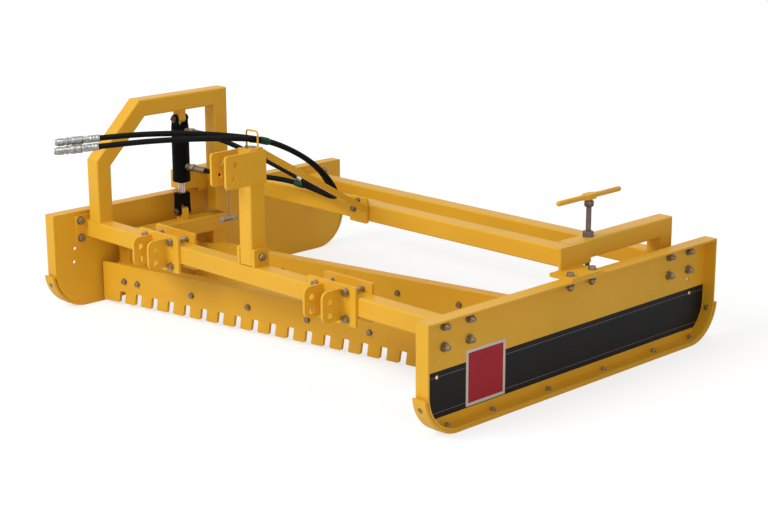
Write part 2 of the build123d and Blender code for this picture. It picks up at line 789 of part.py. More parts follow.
# Girders: a tube over each end of the carriers, on two posts
girder_table = (
    ("left_girder", arch_x, left_post_steps),
    ("right_girder", arm_x, right_post_steps),
)
for girder_name, girder_x, (front_step, rear_step) in girder_table:
    front = front_blade_y + slope * girder_x + front_step
    rear = rear_blade_y + slope * girder_x + rear_step
    with BuildPart() as girder:
        with BuildSketch(Plane.XZ.offset(-front)):
            tube_section((girder_x, girder_z))
        extrude(amount=front - rear)
        for cap_y, amount in ((front, -tube_wall), (rear, tube_wall)):
            with BuildSketch(Plane.XZ.offset(-cap_y)):
                with Locations((girder_x, girder_z)):
                    RectangleRounded(tube, tube, tube_corner)
            extrude(amount=amount)
        with BuildSketch(Plane.XY.offset(carrier_high)):
            for post_y in (front + tube / 2, rear - tube / 2):
                tube_section((girder_x, post_y))
        extrude(amount=girder_low - carrier_high)
        if girder_x > 0:
            with BuildSketch(Plane.XY.offset(girder_z)):
                with Locations((girder_x, screw_y)):
                    Circle(girder_hole / 2)
            extrude(amount=tube, mode=Mode.SUBTRACT)
    girder.part.label = girder_name
    export_step(girder.part, f"parts/{girder_name}.step")

# Gussets behind the left end of the front carrier, under the girder's front post
carrier_back = front_blade_y + slope * arch_x + (blade_wall / 2 + tube) / cos(radians(blade_angle))
gusset_end = front_blade_y + slope * arch_x + left_post_steps[0] + tube
with BuildPart() as gussets:
    for gusset_x in (arch_x - gusset_gap / 2, arch_x + gusset_gap / 2):
        gusset_back = carrier_back + slope * (gusset_x - arch_x + gusset / 2)
        with BuildSketch(Plane.YZ.offset(gusset_x - gusset / 2)):
            with BuildLine():
                Polyline(
                    (gusset_back, carrier_low + tube / 8),
                    (gusset_back, carrier_high),
                    (gusset_end, carrier_high),
                    close=True,
                )
            make_face()
        extrude(amount=gusset)
gussets.part.label = "carrier_gussets"
export_step(gussets.part, "parts/carrier_gussets.step")

# Lug on the left girder for the cylinder's lower pin
with BuildPart() as girder_lug:
    with BuildSketch(Plane.XZ.offset(-cylinder_y)):
        lug_outline(girder_top, lower_pin_z, lug_width, pin)
    extrude(amount=lug_depth / 2, both=True)
girder_lug.part.label = "girder_lug"
export_step(girder_lug.part, "parts/girder_lug.step")

# Lugs on the right girder that hold the trunnions of the screw's nut
with BuildPart() as nut_lugs:
    for lug_side in (-1, 1):
        lug_y = screw_y + lug_side * (block_depth / 2 + trunnion_gap + nut_lug_wall / 2)
        with BuildSketch(Plane.XZ.offset(-lug_y)):
            with Locations((arm_x, lower_pin_z)):
                Circle(block_width / 2)
            with Locations((arm_x, (girder_top + lower_pin_z) / 2)):
                Rectangle(block_width, lower_pin_z - girder_top)
            with Locations((arm_x, lower_pin_z)):
                Circle(trunnion / 2 + rod_play, mode=Mode.SUBTRACT)
        extrude(amount=nut_lug_wall / 2, both=True)
nut_lugs.part.label = "nut_lugs"
export_step(nut_lugs.part, "parts/nut_lugs.step")

# Nut block with its trunnions
trunnion_half = block_depth / 2 + trunnion_gap + nut_lug_wall
with BuildPart() as nut_block:
    with BuildSketch(Plane.XZ.offset(-screw_y - trunnion_half)):
        with Locations((arm_x, lower_pin_z)):
            Circle(trunnion / 2)
    extrude(amount=2 * trunnion_half)
    with BuildSketch(Plane.XY.offset(lower_pin_z - block_height / 2)):
        with Locations((arm_x, screw_y)):
            RectangleRounded(block_width, block_depth, tube_corner / 2)
    extrude(amount=block_height)
    with Locations((arm_x + block_bore_shift, screw_y, lower_pin_z + block_height / 2)):
        Hole(block_bore / 2, depth=block_height)
nut_block.part.label = "nut_block"
export_step(nut_block.part, "parts/nut_block.step")

# Height screw with its collar, and the T-handle on its top
screw_foot = girder_top - screw_foot_drop
with BuildPart() as screw:
    with BuildSketch(Plane.XY.offset(screw_foot)):
        with Locations((arm_x, screw_y)):
            Circle(screw_diameter / 2)
    extrude(amount=hub_low - screw_foot)
    with BuildSketch(Plane.XY.offset(middle_high + collar_rise)):
        with Locations((arm_x, screw_y)):
            Circle(collar_diameter / 2)
    extrude(amount=collar_height)
screw.part.label = "height_screw"
export_step(screw.part, "parts/height_screw.step")

with BuildPart() as handle:
    with BuildSketch(Plane.XZ.offset(-screw_y - handle_length / 2)):
        with Locations((arm_x, handle_z)):
            Circle(handle_bar / 2)
    extrude(amount=handle_length)
    with BuildSketch(Plane.XY.offset(hub_low)):
        with Locations((arm_x, screw_y)):
            Polygon(
                (hub_width / 2, 0),
                (handle_bar / 2, hub_length / 2),
                (-handle_bar / 2, hub_length / 2),
                (-hub_width / 2, 0),
                (-handle_bar / 2, -hub_length / 2),
                (handle_bar / 2, -hub_length / 2),
            )
    extrude(amount=hub_height)
handle.part.label = "screw_handle"
export_step(handle.part, "parts/screw_handle.step")

# Hoses and their quick couplers
stretch_x = hose_end / -route_width
stretch_y = (cylinder_y - front_beam_y) / route_reach
hose_table = (
    ("upper_hose", "upper_coupler", upper_hose_route, port_high, upper_hose_bend),
    ("lower_hose", "lower_coupler", lower_hose_route, port_low, lower_hose_bend),
)
for hose_name, coupler_name, route, port_z, last_bend in hose_table:
    points = [Vector(x * stretch_x, front_beam_y + y * stretch_y, mast_top + z) for x, y, z in route]
    points += [Vector(arch_x + last_bend, cylinder_y, port_z), Vector(hose_end, cylinder_y, port_z)]
    radii = []
    for before, corner, after in zip(points, points[1:], points[2:]):
        turn = (corner - before).get_angle(after - corner)
        run = min((corner - before).length, (after - corner).length)
        radii.append(bend_share * run / tan(radians(turn) / 2))
    with BuildPart() as hose_piece:
        with BuildLine() as hose_path:
            FilletPolyline(*points, radius=radii)
        with BuildSketch(Plane(origin=hose_path.line @ 0, z_dir=hose_path.line % 0)):
            Circle(hose / 2)
        sweep(path=hose_path.line)
    hose_piece.part.label = hose_name
    export_step(hose_piece.part, f"parts/{hose_name}.step")

    with BuildPart() as coupler:
        with BuildSketch(Plane(origin=points[0], z_dir=points[0] - points[1])):
            Circle(coupler_diameter / 2)
        extrude(amount=coupler_length)
    coupler.part.label = coupler_name
    export_step(coupler.part, f"parts/{coupler_name}.step")
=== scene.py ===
from math import atan2, cos, pi, radians, sin, sqrt

import bmesh
import bpy
from mathutils import Matrix, Quaternion, Vector


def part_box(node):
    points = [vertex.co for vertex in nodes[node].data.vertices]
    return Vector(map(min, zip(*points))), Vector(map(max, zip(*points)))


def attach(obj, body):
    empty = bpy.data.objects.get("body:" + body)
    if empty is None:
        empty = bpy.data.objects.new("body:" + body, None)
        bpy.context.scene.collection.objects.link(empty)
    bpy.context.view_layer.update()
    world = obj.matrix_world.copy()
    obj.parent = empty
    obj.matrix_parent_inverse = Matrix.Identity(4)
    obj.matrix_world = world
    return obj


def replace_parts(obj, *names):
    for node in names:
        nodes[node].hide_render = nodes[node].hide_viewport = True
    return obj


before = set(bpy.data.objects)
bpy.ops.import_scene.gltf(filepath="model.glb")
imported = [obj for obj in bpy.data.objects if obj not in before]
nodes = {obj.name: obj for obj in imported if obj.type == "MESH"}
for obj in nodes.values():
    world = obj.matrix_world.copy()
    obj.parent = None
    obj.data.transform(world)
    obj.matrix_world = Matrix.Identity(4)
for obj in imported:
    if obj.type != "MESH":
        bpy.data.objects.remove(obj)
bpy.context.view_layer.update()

mm = 0.001

# Camera: the place, lens and turn that the photograph was taken with
camera_place = Vector((5.4396, -5.2673, 2.3428))
camera_azimuth = radians(45.48)
camera_elevation = radians(14.92)
camera_roll = radians(-0.18)
camera_lens = 81.32
sensor_width = 36.0

# Places taken over from the part, in metres
frame_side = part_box("front_beam")[1][0]
plate_skin = 8 * mm
plate_outside = frame_side + plate_skin
plate_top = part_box("side_plate_right")[1][2]
end_plate_inside = frame_side - 12 * mm
front_beam_y = -695 * mm
rear_beam_y = 705 * mm
beam_z = 373 * mm
beam_half = 40 * mm
beam_top = beam_z + beam_half
bolt_step_y = 69.5 * mm
bolt_step_z = 41.5 * mm
middle_beam_y = 17 * mm
middle_beam_z = 522 * mm
middle_low, middle_high = middle_beam_z - beam_half, middle_beam_z + beam_half
middle_front, middle_rear = middle_beam_y - beam_half, middle_beam_y + beam_half
mast_front, mast_rear = front_beam_y - beam_half, front_beam_y + beam_half
foot_plate = 14 * mm
foot_top = plate_top + foot_plate
plate_corner_y = 741 * mm
plate_corner_z = 177 * mm
arm_x = 1072 * mm
arm_left, arm_right = arm_x - beam_half, arm_x + beam_half
arch_x = -1088 * mm
arch_left, arch_right = arch_x - beam_half, arch_x + beam_half
brace_clamp_wall = 12 * mm
brace_clamp_front = middle_front - brace_clamp_wall
brace_clamp_rear = middle_rear + brace_clamp_wall
blade_angle = radians(10.5)
blade_middles = {"front": -440 * mm, "rear": 112 * mm}
blade_half = 8 * mm
cylinder_y = -218 * mm
lower_pin_z = 381 * mm
upper_pin_z = 836 * mm
ports = (780 * mm, 606 * mm)
screw_y = 213 * mm
handle_z = 733 * mm
hitch_middles = (-586 * mm, 541 * mm)
hitch_clamp_front = -747 * mm
hitch_clamp_rear = -643 * mm
both = (-1, 1)

# Making: points nearer than this are one, and the usual break on a cut edge
merge_distance = 1e-6
edge_break = 0.8 * mm

# Fasteners, as shares of the bolt's diameter
washer_share = 0.15
across_share = 1.5
nut_share = 0.8
head_share = 0.65

hose_diameter = 24 * mm
upper_hose_route = (
    (-0.487, -1.153, 0.948), (-0.396, -1.063, 0.962), (-0.276, -0.946, 0.972), (-0.146, -0.820, 0.971),
    (0.002, -0.697, 0.958), (-0.014, -0.560, 0.917), (-0.026, -0.430, 0.857), (-0.036, -0.330, 0.797),
    (-0.046, -0.250, 0.731), (-0.060, -0.196, 0.667), (-0.104, -0.158, 0.624), (-0.176, -0.128, 0.608),
    (-0.266, -0.108, 0.616), (-0.364, -0.108, 0.640), (-0.466, -0.118, 0.668), (-0.580, -0.138, 0.702),
    (-0.700, -0.170, 0.740), (-0.828, -0.218, 0.780), (-0.938, -0.218, 0.780),
)
lower_hose_route = (
    (-0.465, -1.175, 0.918), (-0.370, -1.087, 0.934), (-0.250, -0.972, 0.950), (-0.120, -0.842, 0.957),
    (0.029, -0.697, 0.958), (0.014, -0.560, 0.914), (0.000, -0.430, 0.851), (-0.010, -0.330, 0.789),
    (-0.022, -0.246, 0.718), (-0.038, -0.182, 0.650), (-0.084, -0.132, 0.598), (-0.166, -0.100, 0.584),
    (-0.262, -0.088, 0.594), (-0.364, -0.092, 0.606), (-0.466, -0.112, 0.616), (-0.580, -0.144, 0.617),
    (-0.706, -0.182, 0.612), (-0.830, -0.218, 0.606), (-0.938, -0.218, 0.606),
)


# Materials

def material_with_nodes(name):
    """New material with its shader and its Object coordinates at hand."""
    material = bpy.data.materials.new(name)
    material.use_nodes = True
    tree = material.node_tree
    shader = tree.nodes["Principled BSDF"]
    coordinates = tree.nodes.new("ShaderNodeTexCoord")
    return material, tree, shader, coordinates.outputs["Object"]


def noise(tree, vector, scale, detail=3.0, roughness=0.5):
    """Noise texture on a vector."""
    node = tree.nodes.new("ShaderNodeTexNoise")
    node.inputs["Scale"].default_value = scale
    node.inputs["Detail"].default_value = detail
    node.inputs["Roughness"].default_value = roughness
    tree.links.new(vector, node.inputs["Vector"])
    return node.outputs["Fac"]


def ramp(tree, factor, low, high, low_colour, high_colour):
    """Colour ramp between two colours."""
    node = tree.nodes.new("ShaderNodeValToRGB")
    node.color_ramp.elements[0].position = low
    node.color_ramp.elements[0].color = (*low_colour, 1)
    node.color_ramp.elements[1].position = high
    node.color_ramp.elements[1].color = (*high_colour, 1)
    tree.links.new(factor, node.inputs["Fac"])
    return node.outputs["Color"]


def spread(tree, factor, low, high):
    """Maps a factor from 0..1 to a range."""
    node = tree.nodes.new("ShaderNodeMapRange")
    node.inputs["To Min"].default_value = low
    node.inputs["To Max"].default_value = high
    tree.links.new(factor, node.inputs["Value"])
    return node.outputs["Result"]


def bumped(tree, shader, height, distance, strength):
    """Bump on a shader's normal."""
    node = tree.nodes.new("ShaderNodeBump")
    node.inputs["Strength"].default_value = strength
    node.inputs["Distance"].default_value = distance
    tree.links.new(height, node.inputs["Height"])
    tree.links.new(node.outputs["Normal"], shader.inputs["Normal"])


def powder_coat(name, dark, light, rough=0.42, gloss=0.3):
    """Powder coat: slow changes of tone, fine orange peel and a few dull patches."""
    material, tree, shader, place = material_with_nodes(name)
    tone = noise(tree, place, scale=2.2, detail=5.0, roughness=0.55)
    tree.links.new(ramp(tree, tone, 0.35, 0.68, dark, light), shader.inputs["Base Color"])
    patches = noise(tree, place, scale=14.0, detail=4.0, roughness=0.6)
    tree.links.new(spread(tree, patches, rough - 0.07, rough + 0.09), shader.inputs["Roughness"])
    orange_peel = noise(tree, place, scale=420.0, detail=2.0)
    bumped(tree, shader, orange_peel, distance=0.2 * mm, strength=0.35)
    shader.inputs["Specular IOR Level"].default_value = gloss
    return material


def plated_steel(name, dark, light, rough=0.34, scale=60.0):
    """Zinc plate: cloudy, with fine grain."""
    material, tree, shader, place = material_with_nodes(name)
    clouds = noise(tree, place, scale, detail=5.0, roughness=0.65)
    tree.links.new(ramp(tree, clouds, 0.3, 0.72, dark, light), shader.inputs["Base Color"])
    tree.links.new(spread(tree, clouds, rough + 0.12, rough - 0.06), shader.inputs["Roughness"])
    shader.inputs["Metallic"].default_value = 0.85
    grain = noise(tree, place, scale=900.0, detail=2.0)
    bumped(tree, shader, grain, distance=0.1 * mm, strength=0.4)
    return material


yellow_paint = powder_coat("yellow_powder_coat", (0.75, 0.395, 0.020), (0.80, 0.43, 0.026))
# Zinc plate: its brown tint is a painted reflection of the yellow paint round the bolts, over grey zinc
zinc_plate = plated_steel("zinc_plate", (0.18, 0.130, 0.075), (0.40, 0.325, 0.215), 0.36)
pale_zinc = plated_steel("pale_zinc", (0.20, 0.195, 0.185), (0.47, 0.46, 0.44), 0.3)
dull_steel = plated_steel("dull_steel", (0.11, 0.088, 0.072), (0.24, 0.20, 0.17), 0.42, 35.0)
polished_rod = plated_steel("polished_rod", (0.62, 0.61, 0.58), (0.74, 0.73, 0.70), 0.2, 12.0)
cylinder_black = powder_coat("cylinder_black", (0.0015, 0.0015, 0.0015), (0.004, 0.004, 0.004), 0.5, 0.06)


def hose_rubber():
    """Black rubber cover with a fine cloth-wrapped grain."""
    material, tree, shader, place = material_with_nodes("hose_rubber")
    dust = noise(tree, place, scale=24.0, detail=5.0, roughness=0.6)
    cover = ramp(tree, dust, 0.35, 0.8, (0.003, 0.003, 0.003), (0.008, 0.008, 0.008))
    tree.links.new(cover, shader.inputs["Base Color"])
    tree.links.new(spread(tree, dust, 0.55, 0.7), shader.inputs["Roughness"])
    shader.inputs["Specular IOR Level"].default_value = 0.08
    cloth = noise(tree, place, scale=1100.0, detail=2.0)
    bumped(tree, shader, cloth, distance=0.2 * mm, strength=0.5)
    return material


hose_cover = hose_rubber()
sleeve_green = powder_coat("sleeve_green", (0.002, 0.030, 0.008), (0.004, 0.050, 0.014), 0.45, 0.2)
stripe_black = powder_coat("stripe_black", (0.004, 0.004, 0.005), (0.007, 0.007, 0.008), 0.42, 0.2)
pin_line_grey = powder_coat("pin_line_grey", (0.11, 0.11, 0.11), (0.15, 0.15, 0.15), 0.4)
panel_red = powder_coat("panel_red", (0.33, 0.012, 0.020), (0.40, 0.016, 0.026), 0.4, 0.2)
border_pale = powder_coat("border_pale", (0.58, 0.52, 0.45), (0.66, 0.60, 0.53), 0.4)


def finish_nodes():
    """Gives every CAD node its material."""
    finishes = {
        "keeper_pin": zinc_plate, "upper_pin": pale_zinc, "lower_pin": pale_zinc, "port_fittings": pale_zinc,
        "upper_coupler": pale_zinc, "lower_coupler": pale_zinc, "mast_bolt": zinc_plate,
        "hitch_studs_left": zinc_plate, "hitch_studs_right": zinc_plate, "cylinder_barrel": cylinder_black,
        "rod_fork": cylinder_black, "cylinder_rod": polished_rod, "height_screw": dull_steel,
        "arm_nut": dull_steel, "nut_block": dull_steel, "upper_hose": hose_cover, "lower_hose": hose_cover,
    }
    for name, node in nodes.items():
        for slot in node.material_slots:
            slot.material = finishes.get(name, yellow_paint)


finish_nodes()


# Making pieces

def piece(name, mesh, material, body="frame", smooth=35.0):
    """Turns a bmesh into an object that rides on a body."""
    bmesh.ops.remove_doubles(mesh, verts=mesh.verts, dist=merge_distance)
    bmesh.ops.recalc_face_normals(mesh, faces=mesh.faces)
    data = bpy.data.meshes.new(name)
    mesh.to_mesh(data)
    mesh.free()
    data.materials.append(material)
    thing = bpy.data.objects.new(name, data)
    bpy.context.scene.collection.objects.link(thing)
    data.shade_smooth()
    data.set_sharp_from_angle(angle=radians(smooth))
    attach(thing, body)
    return thing


def standing(place, axis):
    """Matrix that puts a shape's foot at a place, with its +Z along an axis."""
    turn = Vector((0, 0, 1)).rotation_difference(Vector(axis)).to_matrix().to_4x4()
    return Matrix.Translation(place) @ turn


def add_shape(mesh, shape, matrix):
    """Moves a finished shape into a mesh at a place."""
    bmesh.ops.transform(shape, matrix=matrix, verts=shape.verts)
    data = bpy.data.meshes.new("shape")
    shape.to_mesh(data)
    shape.free()
    mesh.from_mesh(data)
    bpy.data.meshes.remove(data)


def rounded(mesh, geom, offset, segments, affect="EDGES"):
    """Rounds some edges or corners of a mesh."""
    bmesh.ops.bevel(
        mesh, geom=geom, offset=offset, affect=affect, segments=segments, profile=0.5, material=-1
    )


def thicken(mesh, vec):
    """Gives a flat sheet its thickness along a vector."""
    made = bmesh.ops.extrude_face_region(mesh, geom=list(mesh.faces))["geom"]
    moved = [item for item in made if isinstance(item, bmesh.types.BMVert)]
    bmesh.ops.translate(mesh, vec=vec, verts=moved)


def close_ends(mesh):
    """Caps every open rim of a mesh."""
    bmesh.ops.holes_fill(mesh, edges=[edge for edge in mesh.edges if edge.is_boundary], sides=0)


def revolved(profile, steps=24):
    """Closed shape of revolution about Z from (radius, height) points; open ends get capped."""
    mesh = bmesh.new()
    made = [mesh.verts.new((radius, 0, height)) for radius, height in profile]
    edges = [mesh.edges.new(pair) for pair in zip(made, made[1:])]
    bmesh.ops.spin(
        mesh, geom=made + edges, cent=(0, 0, 0), axis=(0, 0, 1), angle=2 * pi, steps=steps, use_merge=True
    )
    bmesh.ops.remove_doubles(mesh, verts=mesh.verts, dist=merge_distance)
    close_ends(mesh)
    bmesh.ops.recalc_face_normals(mesh, faces=mesh.faces)
    return mesh


def cut_plate(outline, front, wall, roundings, segments):
    """Upright plate from (x, z) points: rounded corners, thickness towards +Y and broken edges.

    A rounding is (low, high, offset) and holds for the corners between the two heights.
    """
    mesh = bmesh.new()
    corners = [mesh.verts.new((x, front, z)) for x, z in outline]
    mesh.faces.new(corners)
    groups = [
        ([vert for vert in corners if low < vert.co.z < high], offset) for low, high, offset in roundings
    ]
    for group, offset in groups:
        rounded(mesh, group, offset, segments, "VERTICES")
    thicken(mesh, (0, wall, 0))
    bmesh.ops.recalc_face_normals(mesh, faces=mesh.faces)
    rims = [edge for edge in mesh.edges if abs(edge.verts[0].co.y - edge.verts[1].co.y) < merge_distance]
    rounded(mesh, rims, edge_break, 2)
    return mesh


def hex_prism(across, height, chamfer):
    """Hexagonal prism on Z with its outer corners broken at the top."""
    radius = across / 2 / cos(pi / 6)
    mesh = bmesh.new()
    bmesh.ops.create_cone(mesh, cap_ends=True, segments=6, radius1=radius, radius2=radius, depth=height)
    bmesh.ops.translate(mesh, vec=(0, 0, height / 2), verts=mesh.verts)
    top = [edge for edge in mesh.edges if all(vert.co.z > height - merge_distance for vert in edge.verts)]
    rounded(mesh, top, chamfer, 2)
    return mesh


def washer_shape(size, reach):
    """Flat washer for a bolt of a size, standing on Z = 0; its reach is a share of the size."""
    height, edge = washer_share * size, reach * size
    return revolved(((0, 0), (edge, 0), (edge, 0.7 * height), (0.96 * edge, height), (0, height)), 28)


def threaded_end(size, start, length):
    """Stud end with thread grooves and a broken tip."""
    pitch, root, crest, tip = 0.14 * size, 0.43 * size, 0.5 * size, 0.36 * size
    turns = int(length / pitch)
    profile = [(0, start)]
    for turn in range(turns):
        profile += [(root, start + turn * pitch), (crest, start + (turn + 0.5) * pitch)]
    end = start + (turns + 0.4) * pitch
    profile += [(root, start + turns * pitch), (tip, end), (0, end)]
    return revolved(profile, 20)


def nut_shape(size, tip=0.0, height=nut_share, shank=0.0, reach=1.0):
    """Washer and nut on Z = 0, with the stud's end above and its plain shank below."""
    mesh = washer_shape(size, reach)
    foot, chamfer, sunk = washer_share * size, 0.09 * size, 0.07 * size
    hexagon = hex_prism(across_share * size, height * size, chamfer)
    add_shape(mesh, hexagon, Matrix.Translation((0, 0, foot)))
    if tip:
        add_shape(mesh, threaded_end(size, foot + height * size - sunk, tip), Matrix())
    if shank:
        half, top = size / 2, 1 * mm
        add_shape(mesh, revolved(((0, -shank), (half, -shank), (half, top), (0, top)), 20), Matrix())
    return mesh


def head_shape(size, reach=1.0):
    """Washer and bolt head, standing on Z = 0, with a small dished top."""
    mesh = nut_shape(size, height=head_share, reach=reach)
    top = (washer_share + head_share) * size
    foot, dish = top - 1 * mm, top - 0.6 * mm
    rim, hollow = 0.62 * size, 0.5 * size
    add_shape(mesh, revolved(((0, foot), (rim, foot), (rim, top), (hollow, dish), (0, dish))), Matrix())
    return mesh


def fasteners(name, shape, places, material, body="frame"):
    """One piece of like fasteners: places are (point, axis) pairs."""
    mesh = bmesh.new()
    for place, axis in places:
        add_shape(mesh, shape.copy(), standing(place, axis))
    shape.free()
    return piece(name, mesh, material, body)


# Camera

def place_camera():
    """Sets the photograph's camera."""
    data = bpy.data.cameras.new("camera")
    data.lens = camera_lens
    data.sensor_width = sensor_width
    camera = bpy.data.objects.new("camera", data)
    bpy.context.scene.collection.objects.link(camera)
    level = cos(camera_elevation)
    forward = Vector((-sin(camera_azimuth) * level, cos(camera_azimuth) * level, -sin(camera_elevation)))
    camera.location = camera_place
    camera.rotation_mode = "QUATERNION"
    camera.rotation_quaternion = forward.to_track_quat("-Z", "Y") @ Quaternion((0, 0, 1), camera_roll)
    bpy.context.scene.camera = camera


place_camera()


# Hoses

def route_curve(name, route):
    """Smooth NURBS curve on the part's route."""
    data = bpy.data.curves.new(name, "CURVE")
    data.dimensions = "3D"
    data.resolution_u = 12
    spline = data.splines.new("NURBS")
    spline.points.add(len(route) - 1)
    for point, place in zip(spline.points, route):
        point.co = (*place, 1)
    spline.order_u = 3
    spline.use_endpoint_u = True
    thing = bpy.data.objects.new(name, data)
    bpy.context.scene.collection.objects.link(thing)
    return thing


def centreline(route):
    """Points of a hose's own middle line and their distances from its free end."""
    thing = route_curve("centreline", route)
    mesh = bpy.data.meshes.new_from_object(thing)
    points = [vert.co.copy() for vert in mesh.vertices]
    curve = thing.data
    bpy.data.objects.remove(thing)
    bpy.data.curves.remove(curve)
    bpy.data.meshes.remove(mesh)
    reach = [0.0]
    for before, after in zip(points, points[1:]):
        reach.append(reach[-1] + (after - before).length)
    return points, reach


def hose(name, node, route):
    """Hose on the part's route, in place of the part's hose."""
    thing = route_curve(name, route)
    thing.data.bevel_depth = hose_diameter / 2
    thing.data.bevel_resolution = 6
    thing.data.use_fill_caps = True
    thing.data.materials.append(hose_cover)
    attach(thing, "frame")
    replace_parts(thing, node)
    centreline(route)[1][-1]


def sleeve(name, route, start, end, radius, material):
    """Sleeve round a hose between two distances from its free end, a little narrower at its rims."""
    points, reach = centreline(route)
    steps, taper = 8, 1.5 * mm
    mesh = bmesh.new()
    rings = []
    for step in range(steps + 1):
        goal = start + (end - start) * step / steps
        after = next(index for index, length in enumerate(reach) if length >= goal)
        share = (goal - reach[after - 1]) / (reach[after] - reach[after - 1])
        place = points[after - 1].lerp(points[after], share)
        width = radius - taper if step in (0, steps) else radius
        stand = standing(place, points[after] - points[after - 1])
        made = bmesh.ops.create_circle(mesh, segments=24, radius=width, matrix=stand)["verts"]
        rings.append([edge for edge in mesh.edges if edge.verts[0] in made])
    for lower, upper in zip(rings, rings[1:]):
        bmesh.ops.bridge_loops(mesh, edges=lower + upper)
    close_ends(mesh)
    return piece(name, mesh, material)


def coupler(name, node, route):
    """Quick coupler on a hose's free end: crimped ferrule, hex, body with grooves and a ringed nose."""
    start = Vector(route[0])
    stand = standing(start, start - Vector(route[1]))
    ferrule = (
        (0, -0.042), (0.0142, -0.042), (0.0156, -0.039), (0.0156, -0.030), (0.0147, -0.028),
        (0.0156, -0.026), (0.0156, -0.016), (0.0147, -0.014), (0.0156, -0.012), (0.0156, -0.002),
        (0.0140, 0.002), (0, 0.002),
    )
    body = (
        (0, 0.024), (0.0135, 0.024), (0.0135, 0.030), (0.0180, 0.032), (0.0180, 0.052), (0.0162, 0.054),
        (0.0162, 0.058), (0.0180, 0.060), (0.0180, 0.078), (0.0150, 0.081), (0.0150, 0.090),
        (0.0175, 0.092), (0.0175, 0.100), (0.0140, 0.104), (0.0140, 0.110), (0.0165, 0.113),
        (0.0165, 0.138), (0.0135, 0.142), (0.0135, 0.148), (0.0095, 0.148), (0.0095, 0.140), (0, 0.138),
    )
    hex_foot = Matrix.Translation((0, 0, 2 * mm))
    mesh = bmesh.new()
    add_shape(mesh, revolved(ferrule, 32), stand)
    add_shape(mesh, hex_prism(30 * mm, 22 * mm, 2 * mm), stand @ hex_foot)
    add_shape(mesh, revolved(body, 36), stand)
    thing = piece(name, mesh, pale_zinc)
    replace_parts(thing, node)
    return thing


upper_coupler = coupler("upper_quick_coupler", "upper_coupler", upper_hose_route)
lower_coupler = coupler("lower_quick_coupler", "lower_coupler", lower_hose_route)
# Sleeves: where each starts and ends along its hose, its radius and finish
upper_sleeves = [sleeve("upper_hose_ring", upper_hose_route, 1.560, 1.590, 14 * mm, pale_zinc)]
lower_sleeves = [
    sleeve("lower_hose_joint", lower_hose_route, 0.668, 0.712, 14.8 * mm, cylinder_black),
    sleeve("lower_hose_mark", lower_hose_route, 0.715, 0.765, 15.8 * mm, sleeve_green),
    sleeve("lower_hose_mark_low", lower_hose_route, 1.640, 1.690, 15.5 * mm, sleeve_green),
]
hose("upper_hose_line", "upper_hose", upper_hose_route)
hose("lower_hose_line", "lower_hose", lower_hose_route)


# Bolts

def beam_bolt_places():
    """Middles of the bolts that hold the two cross beams to a side plate."""
    return [
        (beam_y + way_y * bolt_step_y, beam_z + way_z * bolt_step_z)
        for beam_y in (front_beam_y, rear_beam_y) for way_y in both for way_z in both
    ]


def beam_bolts():
    """Bolts through the beams' end plates and the side plates, heads inside and nuts outside."""
    size = 20 * mm
    grip = plate_outside - end_plate_inside
    places = beam_bolt_places()
    nuts = [((side * plate_outside, y, z), (side, 0, 0)) for side in both for y, z in places]
    heads = [((side * end_plate_inside, y, z), (-side, 0, 0)) for side in both for y, z in places]
    fasteners("beam_nuts", nut_shape(size, 16 * mm, shank=grip), nuts, zinc_plate)
    fasteners("beam_bolt_heads", head_shape(size), heads, zinc_plate)


def foot_bolts():
    """Bolts that hold the middle beam's feet on the side plates' top flanges, with jam nuts below."""
    size, bolt_x, bolt_step = 18 * mm, 1200 * mm, 68.5 * mm
    flange_under = plate_top - plate_skin
    jam_top = flange_under - 0.94 * size
    spots = [(side * bolt_x, middle_beam_y + way * bolt_step) for side in both for way in both]
    heads = [((x, y, foot_top), (0, 0, 1)) for x, y in spots]
    nuts = [((x, y, flange_under), (0, 0, -1)) for x, y in spots]
    fasteners("foot_bolt_heads", head_shape(size), heads, zinc_plate)
    fasteners("foot_bolt_nuts", nut_shape(size, shank=foot_plate + plate_skin), nuts, zinc_plate)
    jam = [((x, y, jam_top), (0, 0, -1)) for x, y in spots]
    fasteners("foot_jam_nuts", nut_shape(size, 9 * mm), jam, zinc_plate)


def shoe_bolts():
    """Bolts that hold the wear shoes: nuts on the flanges' inner faces, flush heads on the curved ends."""
    size, bolt_x, bend_radius = 12 * mm, 1202 * mm, 157 * mm
    flange_row = (-0.767, -0.508, -0.175, 0.178, 0.519, 0.779)
    nuts = []
    for y in flange_row:
        past = max(0.0, abs(y) - plate_corner_y)
        rise = plate_corner_z - sqrt(bend_radius ** 2 - past ** 2)
        lean = -past if y > 0 else past
        nuts += [((side * bolt_x, y, rise), (0, lean, plate_corner_z - rise)) for side in both]
    end_x, end_y, end_z = 1205 * mm, 896 * mm, 139 * mm
    nuts += [((side * end_x, end * end_y, end_z), (0, -end, 0)) for side in both for end in both]
    fasteners("shoe_nuts", nut_shape(size, 4 * mm, shank=10 * mm), nuts, zinc_plate)
    shoe_x, shoe_z, shoe_radius = 1203 * mm, 185 * mm, 184.6 * mm
    turns = (radians(20), radians(62))
    heads = []
    for side in both:
        for end in both:
            for turn in turns:
                away = Vector((0, end * cos(turn), -sin(turn)))
                middle = Vector((side * shoe_x, end * plate_corner_y, shoe_z))
                heads.append((middle + shoe_radius * away, away))
    flush = (
        (0, -0.004), (0.011, -0.004), (0.012, 0.0006), (0.011, 0.0012), (0.0045, 0.0012), (0.004, 0.0004),
        (0, 0.0004),
    )
    fasteners("shoe_flush_heads", revolved(flush), heads, zinc_plate)


